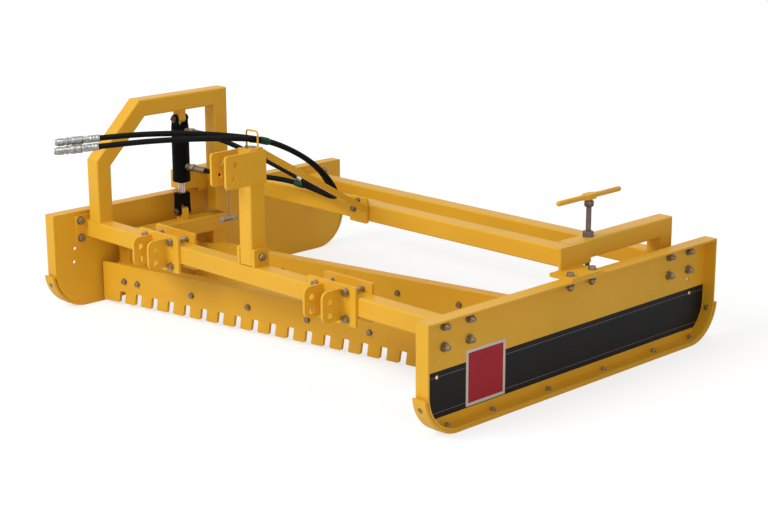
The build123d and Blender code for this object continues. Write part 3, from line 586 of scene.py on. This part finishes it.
def blade_bolts():
    """Bolt heads along the blades' front faces."""
    size = 15 * mm
    normal = Vector((sin(blade_angle), -cos(blade_angle), 0))
    along = Vector((cos(blade_angle), sin(blade_angle), 0))
    rows = (
        # blade, height, places across the machine
        ("front", 122 * mm, (-1.010, -0.929, -0.602, -0.275, 0.052, 0.379, 0.706, 1.033)),
        ("rear", 130 * mm, (-1.010, -0.926, -0.599, -0.272, 0.055, 0.382, 0.709, 1.036)),
    )
    heads = []
    for blade, height, row in rows:
        middle = Vector((0, blade_middles[blade], height))
        for x in row:
            run = (x - blade_half * sin(blade_angle)) / cos(blade_angle)
            heads.append((middle + run * along + blade_half * normal, normal))
    fasteners("blade_bolt_heads", head_shape(size), heads, zinc_plate, body="blades")


def hitch_bolts():
    """Clamp bolts of the lower hitch brackets: heads in front, studs over and under the beam, nuts behind."""
    size, step_x, step_z = 20 * mm, 88.5 * mm, 55 * mm
    grip = hitch_clamp_rear - hitch_clamp_front
    for name, middle in zip(("left", "right"), hitch_middles):
        spots = [(middle + way_x * step_x, beam_z + way_z * step_z) for way_x in both for way_z in both]
        rear = [((x, hitch_clamp_rear, z), (0, 1, 0)) for x, z in spots]
        front = [((x, hitch_clamp_front, z), (0, -1, 0)) for x, z in spots]
        studs = fasteners(f"clamp_studs_{name}", nut_shape(size, 8 * mm, shank=grip), rear, pale_zinc)
        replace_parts(studs, f"hitch_studs_{name}")
        fasteners(f"clamp_heads_{name}", head_shape(size, 0.8), front, zinc_plate)


def mast_bolt():
    """Bolt through the mast's foot lugs."""
    size, lug_face, bolt_z = 20 * mm, 56 * mm, 455 * mm
    place = Vector((0, front_beam_y, bolt_z))
    across = Vector((lug_face, 0, 0))
    bolt = nut_shape(size, 8 * mm, shank=2 * lug_face)
    foot_nut = fasteners("mast_foot_nut", bolt, [(place - across, (-1, 0, 0))], zinc_plate)
    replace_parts(foot_nut, "mast_bolt")
    fasteners("mast_foot_head", head_shape(size, 0.8), [(place + across, (1, 0, 0))], zinc_plate)


def brace_bolts():
    """Bolts of the brace's clamp: a large one through the beam, a small one in the front plate's top."""
    bolts = (
        # name, size, X, Z, face that its nut sits on
        ("large", 16 * mm, -74 * mm, 532 * mm, brace_clamp_rear),
        ("small", 12 * mm, -44 * mm, 575 * mm, middle_front),
    )
    for name, size, x, z, back in bolts:
        head_place = (x, brace_clamp_front, z)
        fasteners(f"brace_{name}_head", head_shape(size), [(head_place, (0, -1, 0))], zinc_plate)
        nut = nut_shape(size, 5 * mm, shank=back - brace_clamp_front)
        fasteners(f"brace_{name}_nut", nut, [((x, back, z), (0, 1, 0))], zinc_plate)


beam_bolts()
foot_bolts()
shoe_bolts()
blade_bolts()
hitch_bolts()
mast_bolt()
brace_bolts()


# Brace clamp

def clamp_plates():
    """Front and rear plate of the brace's clamp; the front one reaches over the beam."""
    left, right, low, corner = -100 * mm, 10 * mm, 473 * mm, 8 * mm
    front_top, rear_top = 588.7 * mm, 558 * mm
    mesh = bmesh.new()
    for front, high in ((brace_clamp_front, front_top), (middle_rear, rear_top)):
        outline = ((left, low), (right, low), (right, high), (left, high))
        plate = cut_plate(outline, front, brace_clamp_wall, ((0, 1, corner),), 5)
        add_shape(mesh, plate, Matrix())
    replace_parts(piece("brace_clamp_plates", mesh, yellow_paint), "brace_clamp")


clamp_plates()


# Toothed blade

def toothed_blade():
    """Front blade with its leaning slots, the corners of slots and teeth rounded by the cutter."""
    half_length, low, high = 1164 * mm, 14 * mm, 200 * mm
    slots, pitch, slot_width, slot_top, lean = 22, 100 * mm, 36 * mm, 70 * mm, 8 * mm
    tooth_corner, slot_corner = 7 * mm, 6 * mm
    outline = [(-half_length, low)]
    for index in range(slots):
        left = (index - (slots - 1) / 2) * pitch - slot_width / 2
        right = left + slot_width
        outline += [(left, low), (left + lean, slot_top), (right + lean, slot_top), (right, low)]
    outline += [(half_length, low), (half_length, high), (-half_length, high)]
    roundings = ((0, slot_top / 2, tooth_corner), (slot_top / 2, 1, slot_corner))
    mesh = cut_plate(outline, -blade_half, 2 * blade_half, roundings, 4)
    turn = Matrix.Translation((0, blade_middles["front"], 0)) @ Matrix.Rotation(blade_angle, 4, "Z")
    bmesh.ops.transform(mesh, matrix=turn, verts=mesh.verts)
    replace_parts(piece("toothed_blade", mesh, yellow_paint, "blades"), "front_blade")


toothed_blade()


# Stripe and panel on the side plates

def stripe_sheet(side):
    """Black sheet in a side plate's hollow, cut to its round corners, with the drain holes left open."""
    low, high, radius, depth = 55 * mm, 241 * mm, 154 * mm, 0.6 * mm
    drains, drain_radius = ((-0.800, 0.218), (0.797, 0.220)), 8.5 * mm
    skin = side * plate_outside
    drop = plate_corner_z - low
    reach = sqrt(radius ** 2 - drop ** 2)
    mesh = bmesh.new()
    ends = []
    for end in both:
        foot = mesh.verts.new((skin, end * (plate_corner_y + reach), low))
        bmesh.ops.spin(
            mesh, geom=[foot], cent=(skin, end * plate_corner_y, plate_corner_z), axis=(1, 0, 0),
            angle=end * atan2(drop, reach), steps=12, use_merge=False
        )
        arc = sorted((vert for vert in mesh.verts if vert.co.y * end > 0), key=lambda vert: vert.co.z)
        top = mesh.verts.new((skin, end * (plate_corner_y + radius), high))
        mesh.edges.new((arc[-1], top))
        ends.append((arc[0], top))
    mesh.edges.new((ends[0][0], ends[1][0]))
    mesh.edges.new((ends[0][1], ends[1][1]))
    for y, z in drains:
        hole = Matrix.Translation((skin, y, z)) @ Matrix.Rotation(pi / 2, 4, "Y")
        bmesh.ops.create_circle(mesh, segments=32, radius=drain_radius, matrix=hole)
    bmesh.ops.triangle_fill(
        mesh, use_beauty=True, use_dissolve=False, edges=list(mesh.edges), normal=(side, 0, 0)
    )
    thicken(mesh, (side * depth, 0, 0))
    return mesh


def flat_patch(mesh, side, reach, y_range, z_range, depth, corner=0.0):
    """Thin rectangle on a side plate, its corners rounded where a corner is given."""
    (y0, y1), (z0, z1) = y_range, z_range
    patch = bmesh.new()
    corners = [patch.verts.new((side * reach, y, z)) for y, z in ((y0, z0), (y1, z0), (y1, z1), (y0, z1))]
    patch.faces.new(corners)
    if corner:
        rounded(patch, corners, corner, 3, "VERTICES")
    thicken(patch, (side * depth, 0, 0))
    add_shape(mesh, patch, Matrix())


def side_marks(side, name):
    """Stripe, its two pin lines and the bordered red panel on a side plate."""
    piece(f"{name}_stripe", stripe_sheet(side), stripe_black)
    stripe_face = plate_outside + 0.55 * mm
    line_half, line_depth = 1.2 * mm, 0.25 * mm
    border_y = (-0.640, -0.415)
    pin_lines = (
        # height, end, gaps at the drain holes and the panel
        (0.219, 0.890, ((-0.813, -0.787), border_y, (0.784, 0.810))),
        (0.077, 0.852, (border_y,)),
    )
    lines = bmesh.new()
    for z, end, gaps in pin_lines:
        starts = [-end] + [gap[1] for gap in gaps]
        stops = [gap[0] for gap in gaps] + [end]
        for start, stop in zip(starts, stops):
            z_range = (z - line_half, z + line_half)
            flat_patch(lines, side, stripe_face, (start, stop), z_range, line_depth)
    piece(f"{name}_pin_lines", lines, pin_line_grey)
    sheets = (
        # name, finish, rise over the stripe, Y, Z, depth, corner
        ("panel_border", border_pale, -0.4 * mm, border_y, (0.059, 0.287), 1.0 * mm, 2 * mm),
        ("panel", panel_red, 0.5 * mm, (-0.627, -0.428), (0.072, 0.274), 0.5 * mm, 1 * mm),
    )
    for part, finish, rise, y_range, z_range, depth, corner in sheets:
        sheet = bmesh.new()
        flat_patch(sheet, side, stripe_face + rise, y_range, z_range, depth, corner)
        piece(f"{name}_{part}", sheet, finish)


side_marks(1, "right")
side_marks(-1, "left")


# Welds

def weld_bead(mesh, start, end, radius):
    """Rippled bead along a straight joint."""
    start, end = Vector(start), Vector(end)
    run = (end - start).length
    ripples = max(3, round(run / (5 * mm)))
    step = run / ripples
    tail = run + radius * 0.4
    profile = [(0, 0), (radius * 0.7, 0)]
    for ripple in range(ripples):
        profile += [(radius, (ripple + 0.5) * step), (radius * 0.88, (ripple + 1) * step)]
    profile += [(radius * 0.6, tail), (0, tail)]
    add_shape(mesh, revolved(profile, 8), standing(start, end - start))


def welds(name, lines, radius=4 * mm, body="frame"):
    """One piece of weld beads along straight joints."""
    mesh = bmesh.new()
    for start, end in lines:
        weld_bead(mesh, start, end, radius)
    piece(name, mesh, yellow_paint, body, smooth=60.0)


def along_x(y, z, start, end):
    """Joint that runs along X."""
    return (start, y, z), (end, y, z)


def along_y(x, z, start, end):
    """Joint that runs along Y."""
    return (x, start, z), (x, end, z)


def along_z(x, y, start, end):
    """Joint that runs upright."""
    return (x, y, start), (x, y, end)


def flat_loop(x_range, y_range, z):
    """Four joints round a rectangle at a height."""
    (x0, x1), (y0, y1) = x_range, y_range
    corners = [(x0, y0, z), (x1, y0, z), (x1, y1, z), (x0, y1, z)]
    return list(zip(corners, corners[1:] + corners[:1]))


def beam_end_welds():
    """Beads where the cross beams meet their end plates, along the flats of the tube."""
    flat = beam_half - 8 * mm
    lines = []
    for beam_y in (front_beam_y, rear_beam_y):
        for side in both:
            x = side * end_plate_inside
            for way in both:
                edge = way * beam_half
                lines.append(along_z(x, beam_y + edge, beam_z - flat, beam_z + flat))
                lines.append(along_y(x, beam_z + edge, beam_y - flat, beam_y + flat))
    return lines


def mast_welds():
    """Beads on the mast's foot lugs, its ears and both ends of its brace."""
    lug_x, mast_x, brace_x = 56 * mm, 40 * mm, 12.5 * mm
    ear_low, ear_high, inset = 0.772, 0.903, 4 * mm
    lines = []
    for side in both:
        for x in (lug_x, mast_x):
            lines.append(along_y(side * x, beam_top, mast_front + inset, mast_rear - inset))
        # Each top-link ear is laid on the mast's side and welded round
        lines += [
            along_z(side * mast_x, mast_front, ear_low, ear_high),
            along_y(side * mast_x, 0.767, mast_front, mast_rear),
            along_z(side * mast_x, mast_rear, ear_low, ear_high),
            along_y(side * mast_x, 0.908, mast_front + 6 * mm, mast_rear - 6 * mm),
            along_z(side * brace_x, mast_rear, 0.885, 0.912),
            along_z(side * brace_x, brace_clamp_front, 0.528, 0.555),
        ]
    lines.append(along_x(mast_rear, 0.8835, -12 * mm, 12 * mm))
    return lines


def arch_welds():
    """Beads at the arch's feet and at its lug over the cylinder."""
    inset, lug_half = 6 * mm, 20 * mm
    lines = [along_y(x, beam_top, mast_front + inset, mast_rear - inset) for x in (arch_left, arch_right)]
    lines += [
        along_x(mast_rear, beam_top, arch_left + inset, arch_right - inset),
        along_z(arch_right, middle_front, 0.490, 0.556),
        along_y(arch_right, middle_high, -0.016, 0.040),
        along_y(arch_right, middle_low, -0.016, 0.040),
        along_y(arch_left, 0.556, -0.030, 0.040),
        along_z(arch_left, -0.036, 0.474, 0.554),
    ]
    for way in both:
        y = cylinder_y + way * lug_half
        lines.append(along_x(y, 0.880, arch_x - lug_half, arch_x + lug_half))
    return lines


def arm_welds():
    """Beads at both ends of the right arm."""
    rear_front, inset = rear_beam_y - beam_half, 6 * mm
    lines = [along_z(x, middle_rear, 0.490, 0.554) for x in (arm_left, arm_right)]
    for x in (arm_left, arm_right):
        lines.append(along_y(x, beam_top, rear_front + inset, rear_beam_y + beam_half - inset))
    lines.append(along_x(rear_front, beam_top, arm_left + inset, arm_right - inset))
    lines.append(along_x(0.060, middle_low, arm_left + 8 * mm, arm_right - 8 * mm))
    return lines


def frame_welds():
    """Beads on the frame's own joints."""
    welds("beam_end_beads", beam_end_welds())
    welds("mast_beads", mast_welds(), 3.2 * mm)
    welds("arch_beads", arch_welds())
    welds("arm_beads", arm_welds())
    feet = [
        along_y(1.124, foot_top, -0.020, 0.114),
        along_x(-0.083, foot_top, -1.140, -1.220),
        along_x(middle_rear, foot_top, -1.140, -1.224),
    ]
    welds("foot_beads", feet)


def hitch_welds():
    """Beads on both sides of each lower hitch ear."""
    lines = []
    for middle in hitch_middles:
        for side in both:
            for ear_face in (47 * mm, 59 * mm):
                lines.append(along_z(middle + side * ear_face, hitch_clamp_front, 0.320, 0.426))
    welds("hitch_beads", lines)


def girder_welds():
    """Beads on the girders' posts and lugs, which ride with the blades."""
    post_low, post_high, lug_foot = 0.190, 0.258, 0.338
    posts = (
        # middle across the machine, fronts of its posts
        (arch_x, (-0.577, -0.060)),
        (arm_x, (-0.2216, 0.3284)),
    )
    lines = []
    for x, fronts in posts:
        x_range = (x - beam_half, x + beam_half)
        for front in fronts:
            y_range = (front, front + 2 * beam_half)
            lines += flat_loop(x_range, y_range, post_low) + flat_loop(x_range, y_range, post_high)
    lugs = (
        # middle of the lug, half its length and half its width
        (arch_x, cylinder_y, 20 * mm, 20 * mm),
        (arm_x, screw_y, 46 * mm, 22 * mm),
    )
    for way in both:
        for x, y, half_length, half_width in lugs:
            lines.append(along_x(y + way * half_length, lug_foot, x - half_width, x + half_width))
    welds("girder_beads", lines, 3.5 * mm, "blades")


frame_welds()
hitch_welds()
girder_welds()


# Lift cylinder

def cylinder_trim():
    """Gland and cap rings, port collars and the rod's wiper on the cylinder's barrel."""
    barrel_side, collar_sunk, band_step = 49.5 * mm, 7 * mm, 22.5 * mm
    gland = (
        (0.0185, 0.5265), (0.030, 0.5265), (0.0395, 0.528), (0.0432, 0.532), (0.0432, 0.548),
        (0.0421, 0.549), (0.0421, 0.5505), (0.0432, 0.5515), (0.0432, 0.560), (0.0415, 0.562),
    )
    cap = ((0.0410, 0.7700), (0.0428, 0.7712), (0.0433, 0.7735), (0.0428, 0.7758), (0.0410, 0.7770))
    collar = ((0, 0), (0.0195, 0), (0.0205, 0.002), (0.0205, 0.006), (0.0190, 0.0075), (0, 0.0075))
    band = ((0.041, -0.002), (0.0424, -0.0012), (0.0424, 0.0012), (0.041, 0.002))
    stand = Matrix.Translation((arch_x, cylinder_y, 0))
    mesh = bmesh.new()
    add_shape(mesh, revolved(gland, 48), stand)
    add_shape(mesh, revolved(cap, 48), stand)
    for z in ports:
        seat = standing((arch_x + barrel_side, cylinder_y, z), (1, 0, 0))
        add_shape(mesh, revolved(collar, 32), seat @ Matrix.Translation((0, 0, -collar_sunk)))
        for way in both:
            add_shape(mesh, revolved(band, 48), stand @ Matrix.Translation((0, 0, z + way * band_step)))
    piece("cylinder_rings", mesh, cylinder_black)
    wiper = ((0.0183, 0.5215), (0.0215, 0.5215), (0.0235, 0.5235), (0.0235, 0.5275), (0.0183, 0.5275))
    ring = bmesh.new()
    add_shape(ring, revolved(wiper, 40), stand)
    piece("rod_wiper", ring, hose_cover)


def port_adaptors():
    """Adaptor, swivel nut and crimped ferrule between each port and its hose."""
    port_face, nut_foot, crimps, crimp_pitch = arch_x + 50 * mm, 30 * mm, 5, 13 * mm
    neck = ((0, 0.013), (0.0105, 0.013), (0.0105, 0.026), (0.0130, 0.027), (0.0130, 0.030), (0, 0.030))
    ferrule = [(0, 0.055), (0.0125, 0.055), (0.0125, 0.062), (0.0150, 0.064)]
    for crimp in range(crimps):
        foot = 68 * mm + crimp * crimp_pitch
        ferrule += [(0.0160, foot), (0.0160, foot + 0.008), (0.0150, foot + 0.010), (0.0150, foot + 0.011)]
    ferrule += [(0.0142, 0.136), (0, 0.136)]
    mesh = bmesh.new()
    for z in ports:
        stand = standing((port_face, cylinder_y, z), (1, 0, 0))
        add_shape(mesh, hex_prism(30 * mm, 14 * mm, 1.5 * mm), stand)
        add_shape(mesh, revolved(neck, 32), stand)
        swivel = stand @ Matrix.Translation((0, 0, nut_foot))
        add_shape(mesh, hex_prism(34 * mm, 26 * mm, 2 * mm), swivel)
        add_shape(mesh, revolved(ferrule, 32), stand)
    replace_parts(piece("port_adaptors", mesh, zinc_plate), "port_fittings")


def link_pin(name, node, z, body):
    """Cylinder pin with broken edges, retaining rings and a grease nipple in its end."""
    half, radius, tip_radius, edge = 46 * mm, 12.5 * mm, 11 * mm, 1.5 * mm
    ring_radius, ring_width = 17.5 * mm, 3 * mm
    profile = [(0, -half), (tip_radius, -half), (radius, edge - half)]
    for foot in (7 * mm - half, half - 10 * mm):
        profile += [(radius, foot), (ring_radius, foot)]
        profile += [(ring_radius, foot + ring_width), (radius, foot + ring_width)]
    profile += [(radius, half - edge), (tip_radius, half), (0, half)]
    nipple = (
        (0, 0), (0.0040, 0), (0.0040, 0.003), (0.0022, 0.0045), (0.0022, 0.006), (0.0031, 0.0075),
        (0.0026, 0.0095), (0, 0.0100),
    )
    mesh = bmesh.new()
    stand = standing((arch_x, cylinder_y, z), (0, -1, 0))
    add_shape(mesh, revolved(profile, 32), stand)
    add_shape(mesh, revolved(nipple, 16), stand @ Matrix.Translation((0, 0, half)))
    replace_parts(piece(name, mesh, dull_steel, body), node)


cylinder_trim()
port_adaptors()
link_pin("cylinder_upper_pin", "upper_pin", upper_pin_z, "frame")
link_pin("cylinder_lower_pin", "lower_pin", lower_pin_z, "blades")


# Height screw

def thread_ridge(root, crest, pitch, high, low):
    """Ridge of a left-hand trapezoidal thread, wound downwards round Z, closed at both ends."""
    steps = 20
    inner = root - 1 * mm
    mesh = bmesh.new()
    section = ((inner, -0.36), (crest, -0.16), (crest, 0.16), (inner, 0.36))
    made = [mesh.verts.new((radius, 0, high + share * pitch)) for radius, share in section]
    edges = [mesh.edges.new((made[index], made[index - 1])) for index in range(len(made))]
    count = int((high - low) / pitch * steps)
    bmesh.ops.spin(
        mesh, geom=made + edges, cent=(0, 0, 0), axis=(0, 0, 1), dvec=(0, 0, -pitch / steps),
        angle=2 * pi * count / steps, steps=count, use_merge=False
    )
    close_ends(mesh)
    bmesh.ops.recalc_face_normals(mesh, faces=mesh.faces)
    return mesh


def screw_spindle():
    """Screw with its thread in the nut block and its collar under the handle."""
    place = Matrix.Translation((arm_x, screw_y, 0))
    spindle = (
        (0, 0.300), (0.0062, 0.300), (0.0078, 0.302), (0.0078, 0.480), (0.0110, 0.484), (0.0110, 0.690),
        (0.0170, 0.690), (0.0192, 0.693), (0.0200, 0.695), (0.0200, 0.711), (0.0192, 0.713),
        (0.0140, 0.713), (0.0140, 0.724), (0, 0.724),
    )
    mesh = bmesh.new()
    add_shape(mesh, revolved(spindle, 40), place)
    thread = thread_ridge(root=7.8 * mm, crest=11 * mm, pitch=6 * mm, high=0.481, low=0.304)
    add_shape(mesh, thread, place)
    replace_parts(piece("screw_spindle", mesh, dull_steel, "screw"), "height_screw")


def handle_bar():
    """Round bar with rounded ends through a six-sided hub."""
    bar_half, bar_radius, hub_half = 203.5 * mm, 11 * mm, 11.8 * mm
    end = [(0, -bar_half)]
    for turn in (30, 60, 90):
        bend = radians(turn)
        end.append((bar_radius * sin(bend), -bar_half + bar_radius * 0.7 * (1 - cos(bend))))
    profile = end + [(radius, -height) for radius, height in reversed(end)]
    handle = bmesh.new()
    add_shape(handle, revolved(profile), standing((arm_x, screw_y, handle_z), (0, 1, 0)))
    outline = ((0, -55), (20, -21), (20, 21), (0, 55), (-20, 21), (-20, -21))
    hub = bmesh.new()
    hub.faces.new([hub.verts.new((x * mm, y * mm, -hub_half)) for x, y in outline])
    thicken(hub, (0, 0, 2 * hub_half))
    rounded(hub, list(hub.edges), 3 * mm, 3)
    add_shape(handle, hub, Matrix.Translation((arm_x, screw_y, handle_z)))
    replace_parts(piece("handle_bar", handle, yellow_paint, "screw"), "screw_handle")


def arm_bearing_nut():
    """Bearing nut on the arm, which the screw turns in, and its seat."""
    nut_foot = 562.2 * mm
    seat = ((0, 0.5620), (0.0240, 0.5620), (0.0240, 0.5645), (0.0230, 0.5655), (0, 0.5655))
    nut = hex_prism(39.8 * mm, 24.5 * mm, 3 * mm)
    bearing = bmesh.new()
    add_shape(bearing, nut, Matrix.Translation((arm_x, screw_y, nut_foot)))
    add_shape(bearing, revolved(seat, 40), Matrix.Translation((arm_x, screw_y, 0)))
    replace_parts(piece("arm_bearing_nut", bearing, dull_steel), "arm_nut")


screw_spindle()
handle_bar()
arm_bearing_nut()


# Keeper on the right ear and feet of the hose guide

def keeper_trim():
    """Ring at the keeper wire's top, split rings on its pin and the pin's own cross pin."""
    keeper_x, keeper_z = 46 * mm, 648 * mm
    wire_top = Matrix.Translation((keeper_x, -0.860, 0.764))
    eye = ((0, -0.002), (0.0065, -0.002), (0.0075, 0), (0.0065, 0.002), (0, 0.002))
    split = ((0, -0.0025), (0.0130, -0.0025), (0.0140, 0), (0.0130, 0.0025), (0, 0.0025))
    cross = (
        (0, -0.030), (0.0030, -0.0295), (0.0035, -0.028), (0.0035, 0.028), (0.0030, 0.0295), (0, 0.030)
    )
    mesh = bmesh.new()
    add_shape(mesh, revolved(eye), wire_top)
    for y in (-0.8960, -0.8300):
        add_shape(mesh, revolved(split, 32), standing((keeper_x, y, keeper_z), (0, 1, 0)))
    add_shape(mesh, revolved(cross, 16), standing((keeper_x, -0.843, keeper_z), (1, 0, 0)))
    piece("keeper_trim", mesh, zinc_plate)


def guide_feet():
    """Weld collars round the hose guide's two feet."""
    foot_x, foot_y, mast_top = 36 * mm, -685 * mm, 914 * mm
    collar = ((0, 0), (0.0085, 0), (0.0080, 0.002), (0.0055, 0.0045), (0.0042, 0.0055), (0, 0.0055))
    mesh = bmesh.new()
    for side in both:
        add_shape(mesh, revolved(collar, 20), Matrix.Translation((side * foot_x, foot_y, mast_top)))
    piece("guide_feet", mesh, yellow_paint)


keeper_trim()
guide_feet()


# Studio

def pale_world():
    """World that is white to the camera and in reflections, and gives dim light."""
    world_light = 0.40
    world = bpy.data.worlds.new("studio")
    bpy.context.scene.world = world
    world.use_nodes = True
    tree = world.node_tree
    background = tree.nodes["Background"]
    path = tree.nodes.new("ShaderNodeLightPath")
    seen = tree.nodes.new("ShaderNodeMath")
    seen.operation = "MAXIMUM"
    tree.links.new(path.outputs["Is Camera Ray"], seen.inputs[0])
    tree.links.new(path.outputs["Is Glossy Ray"], seen.inputs[1])
    tree.links.new(spread(tree, seen.outputs[0], world_light, 1.0), background.inputs["Strength"])
    background.inputs["Color"].default_value = (1, 1, 1, 1)


def white_floor():
    """White floor that keeps the shadow near the machine, where its glow is dimmed as painted shade round it,
    and turns plain white further off.
    """
    near, far = 1.2, 4.5
    # The lower glow near the machine is painted shade on the floor round it
    near_glow, far_glow, glow_share = 1.19, 1.45, 0.6
    floor_mesh = bmesh.new()
    bmesh.ops.create_grid(floor_mesh, x_segments=1, y_segments=1, size=40)
    floor_data = bpy.data.meshes.new("floor")
    floor_mesh.to_mesh(floor_data)
    floor_mesh.free()
    floor = bpy.data.objects.new("floor", floor_data)
    bpy.context.scene.collection.objects.link(floor)
    white = bpy.data.materials.new("floor_white")
    white.use_nodes = True
    tree = white.node_tree
    tree.nodes.clear()
    out = tree.nodes.new("ShaderNodeOutputMaterial")
    paper = tree.nodes.new("ShaderNodeBsdfDiffuse")
    paper.inputs["Color"].default_value = (0.86, 0.86, 0.86, 1)
    glow = tree.nodes.new("ShaderNodeEmission")
    place = tree.nodes.new("ShaderNodeTexCoord")
    reach = tree.nodes.new("ShaderNodeVectorMath")
    reach.operation = "LENGTH"
    level = tree.nodes.new("ShaderNodeMapRange")
    level.inputs["From Min"].default_value = near
    level.inputs["From Max"].default_value = far
    level.inputs["To Min"].default_value = near_glow
    level.inputs["To Max"].default_value = far_glow
    tree.links.new(place.outputs["Object"], reach.inputs[0])
    tree.links.new(reach.outputs["Value"], level.inputs["Value"])
    tree.links.new(level.outputs["Result"], glow.inputs["Strength"])
    path = tree.nodes.new("ShaderNodeLightPath")
    mix = tree.nodes.new("ShaderNodeMixShader")
    share = tree.nodes.new("ShaderNodeMath")
    share.operation = "MULTIPLY"
    share.inputs[1].default_value = glow_share
    tree.links.new(path.outputs["Is Camera Ray"], share.inputs[0])
    tree.links.new(share.outputs[0], mix.inputs["Fac"])
    tree.links.new(paper.outputs[0], mix.inputs[1])
    tree.links.new(glow.outputs[0], mix.inputs[2])
    tree.links.new(mix.outputs[0], out.inputs["Surface"])
    floor_data.materials.append(white)


def soft_lamps():
    """Three round soft lamps, turned to the machine's middle."""
    middle = Vector((0, 0, 0.4))
    lamps = (
        # name, place, size, watts
        ("key_lamp", (-1.2, -6.2, 5.2), 4.0, 345.0),
        ("side_lamp", (6.4, -4.0, 2.6), 3.0, 62.0),
        ("top_lamp", (0.5, 1.0, 6.5), 5.0, 70.0),
    )
    for name, place, size, watts in lamps:
        data = bpy.data.lights.new(name, "AREA")
        data.shape = "DISK"
        data.size = size
        data.energy = watts
        lamp = bpy.data.objects.new(name, data)
        lamp.location = place
        lamp.rotation_mode = "QUATERNION"
        lamp.rotation_quaternion = (middle - Vector(place)).to_track_quat("-Z", "Y")
        bpy.context.scene.collection.objects.link(lamp)


pale_world()
white_floor()
soft_lamps()
bpy.context.scene.view_settings.view_transform = "Standard"
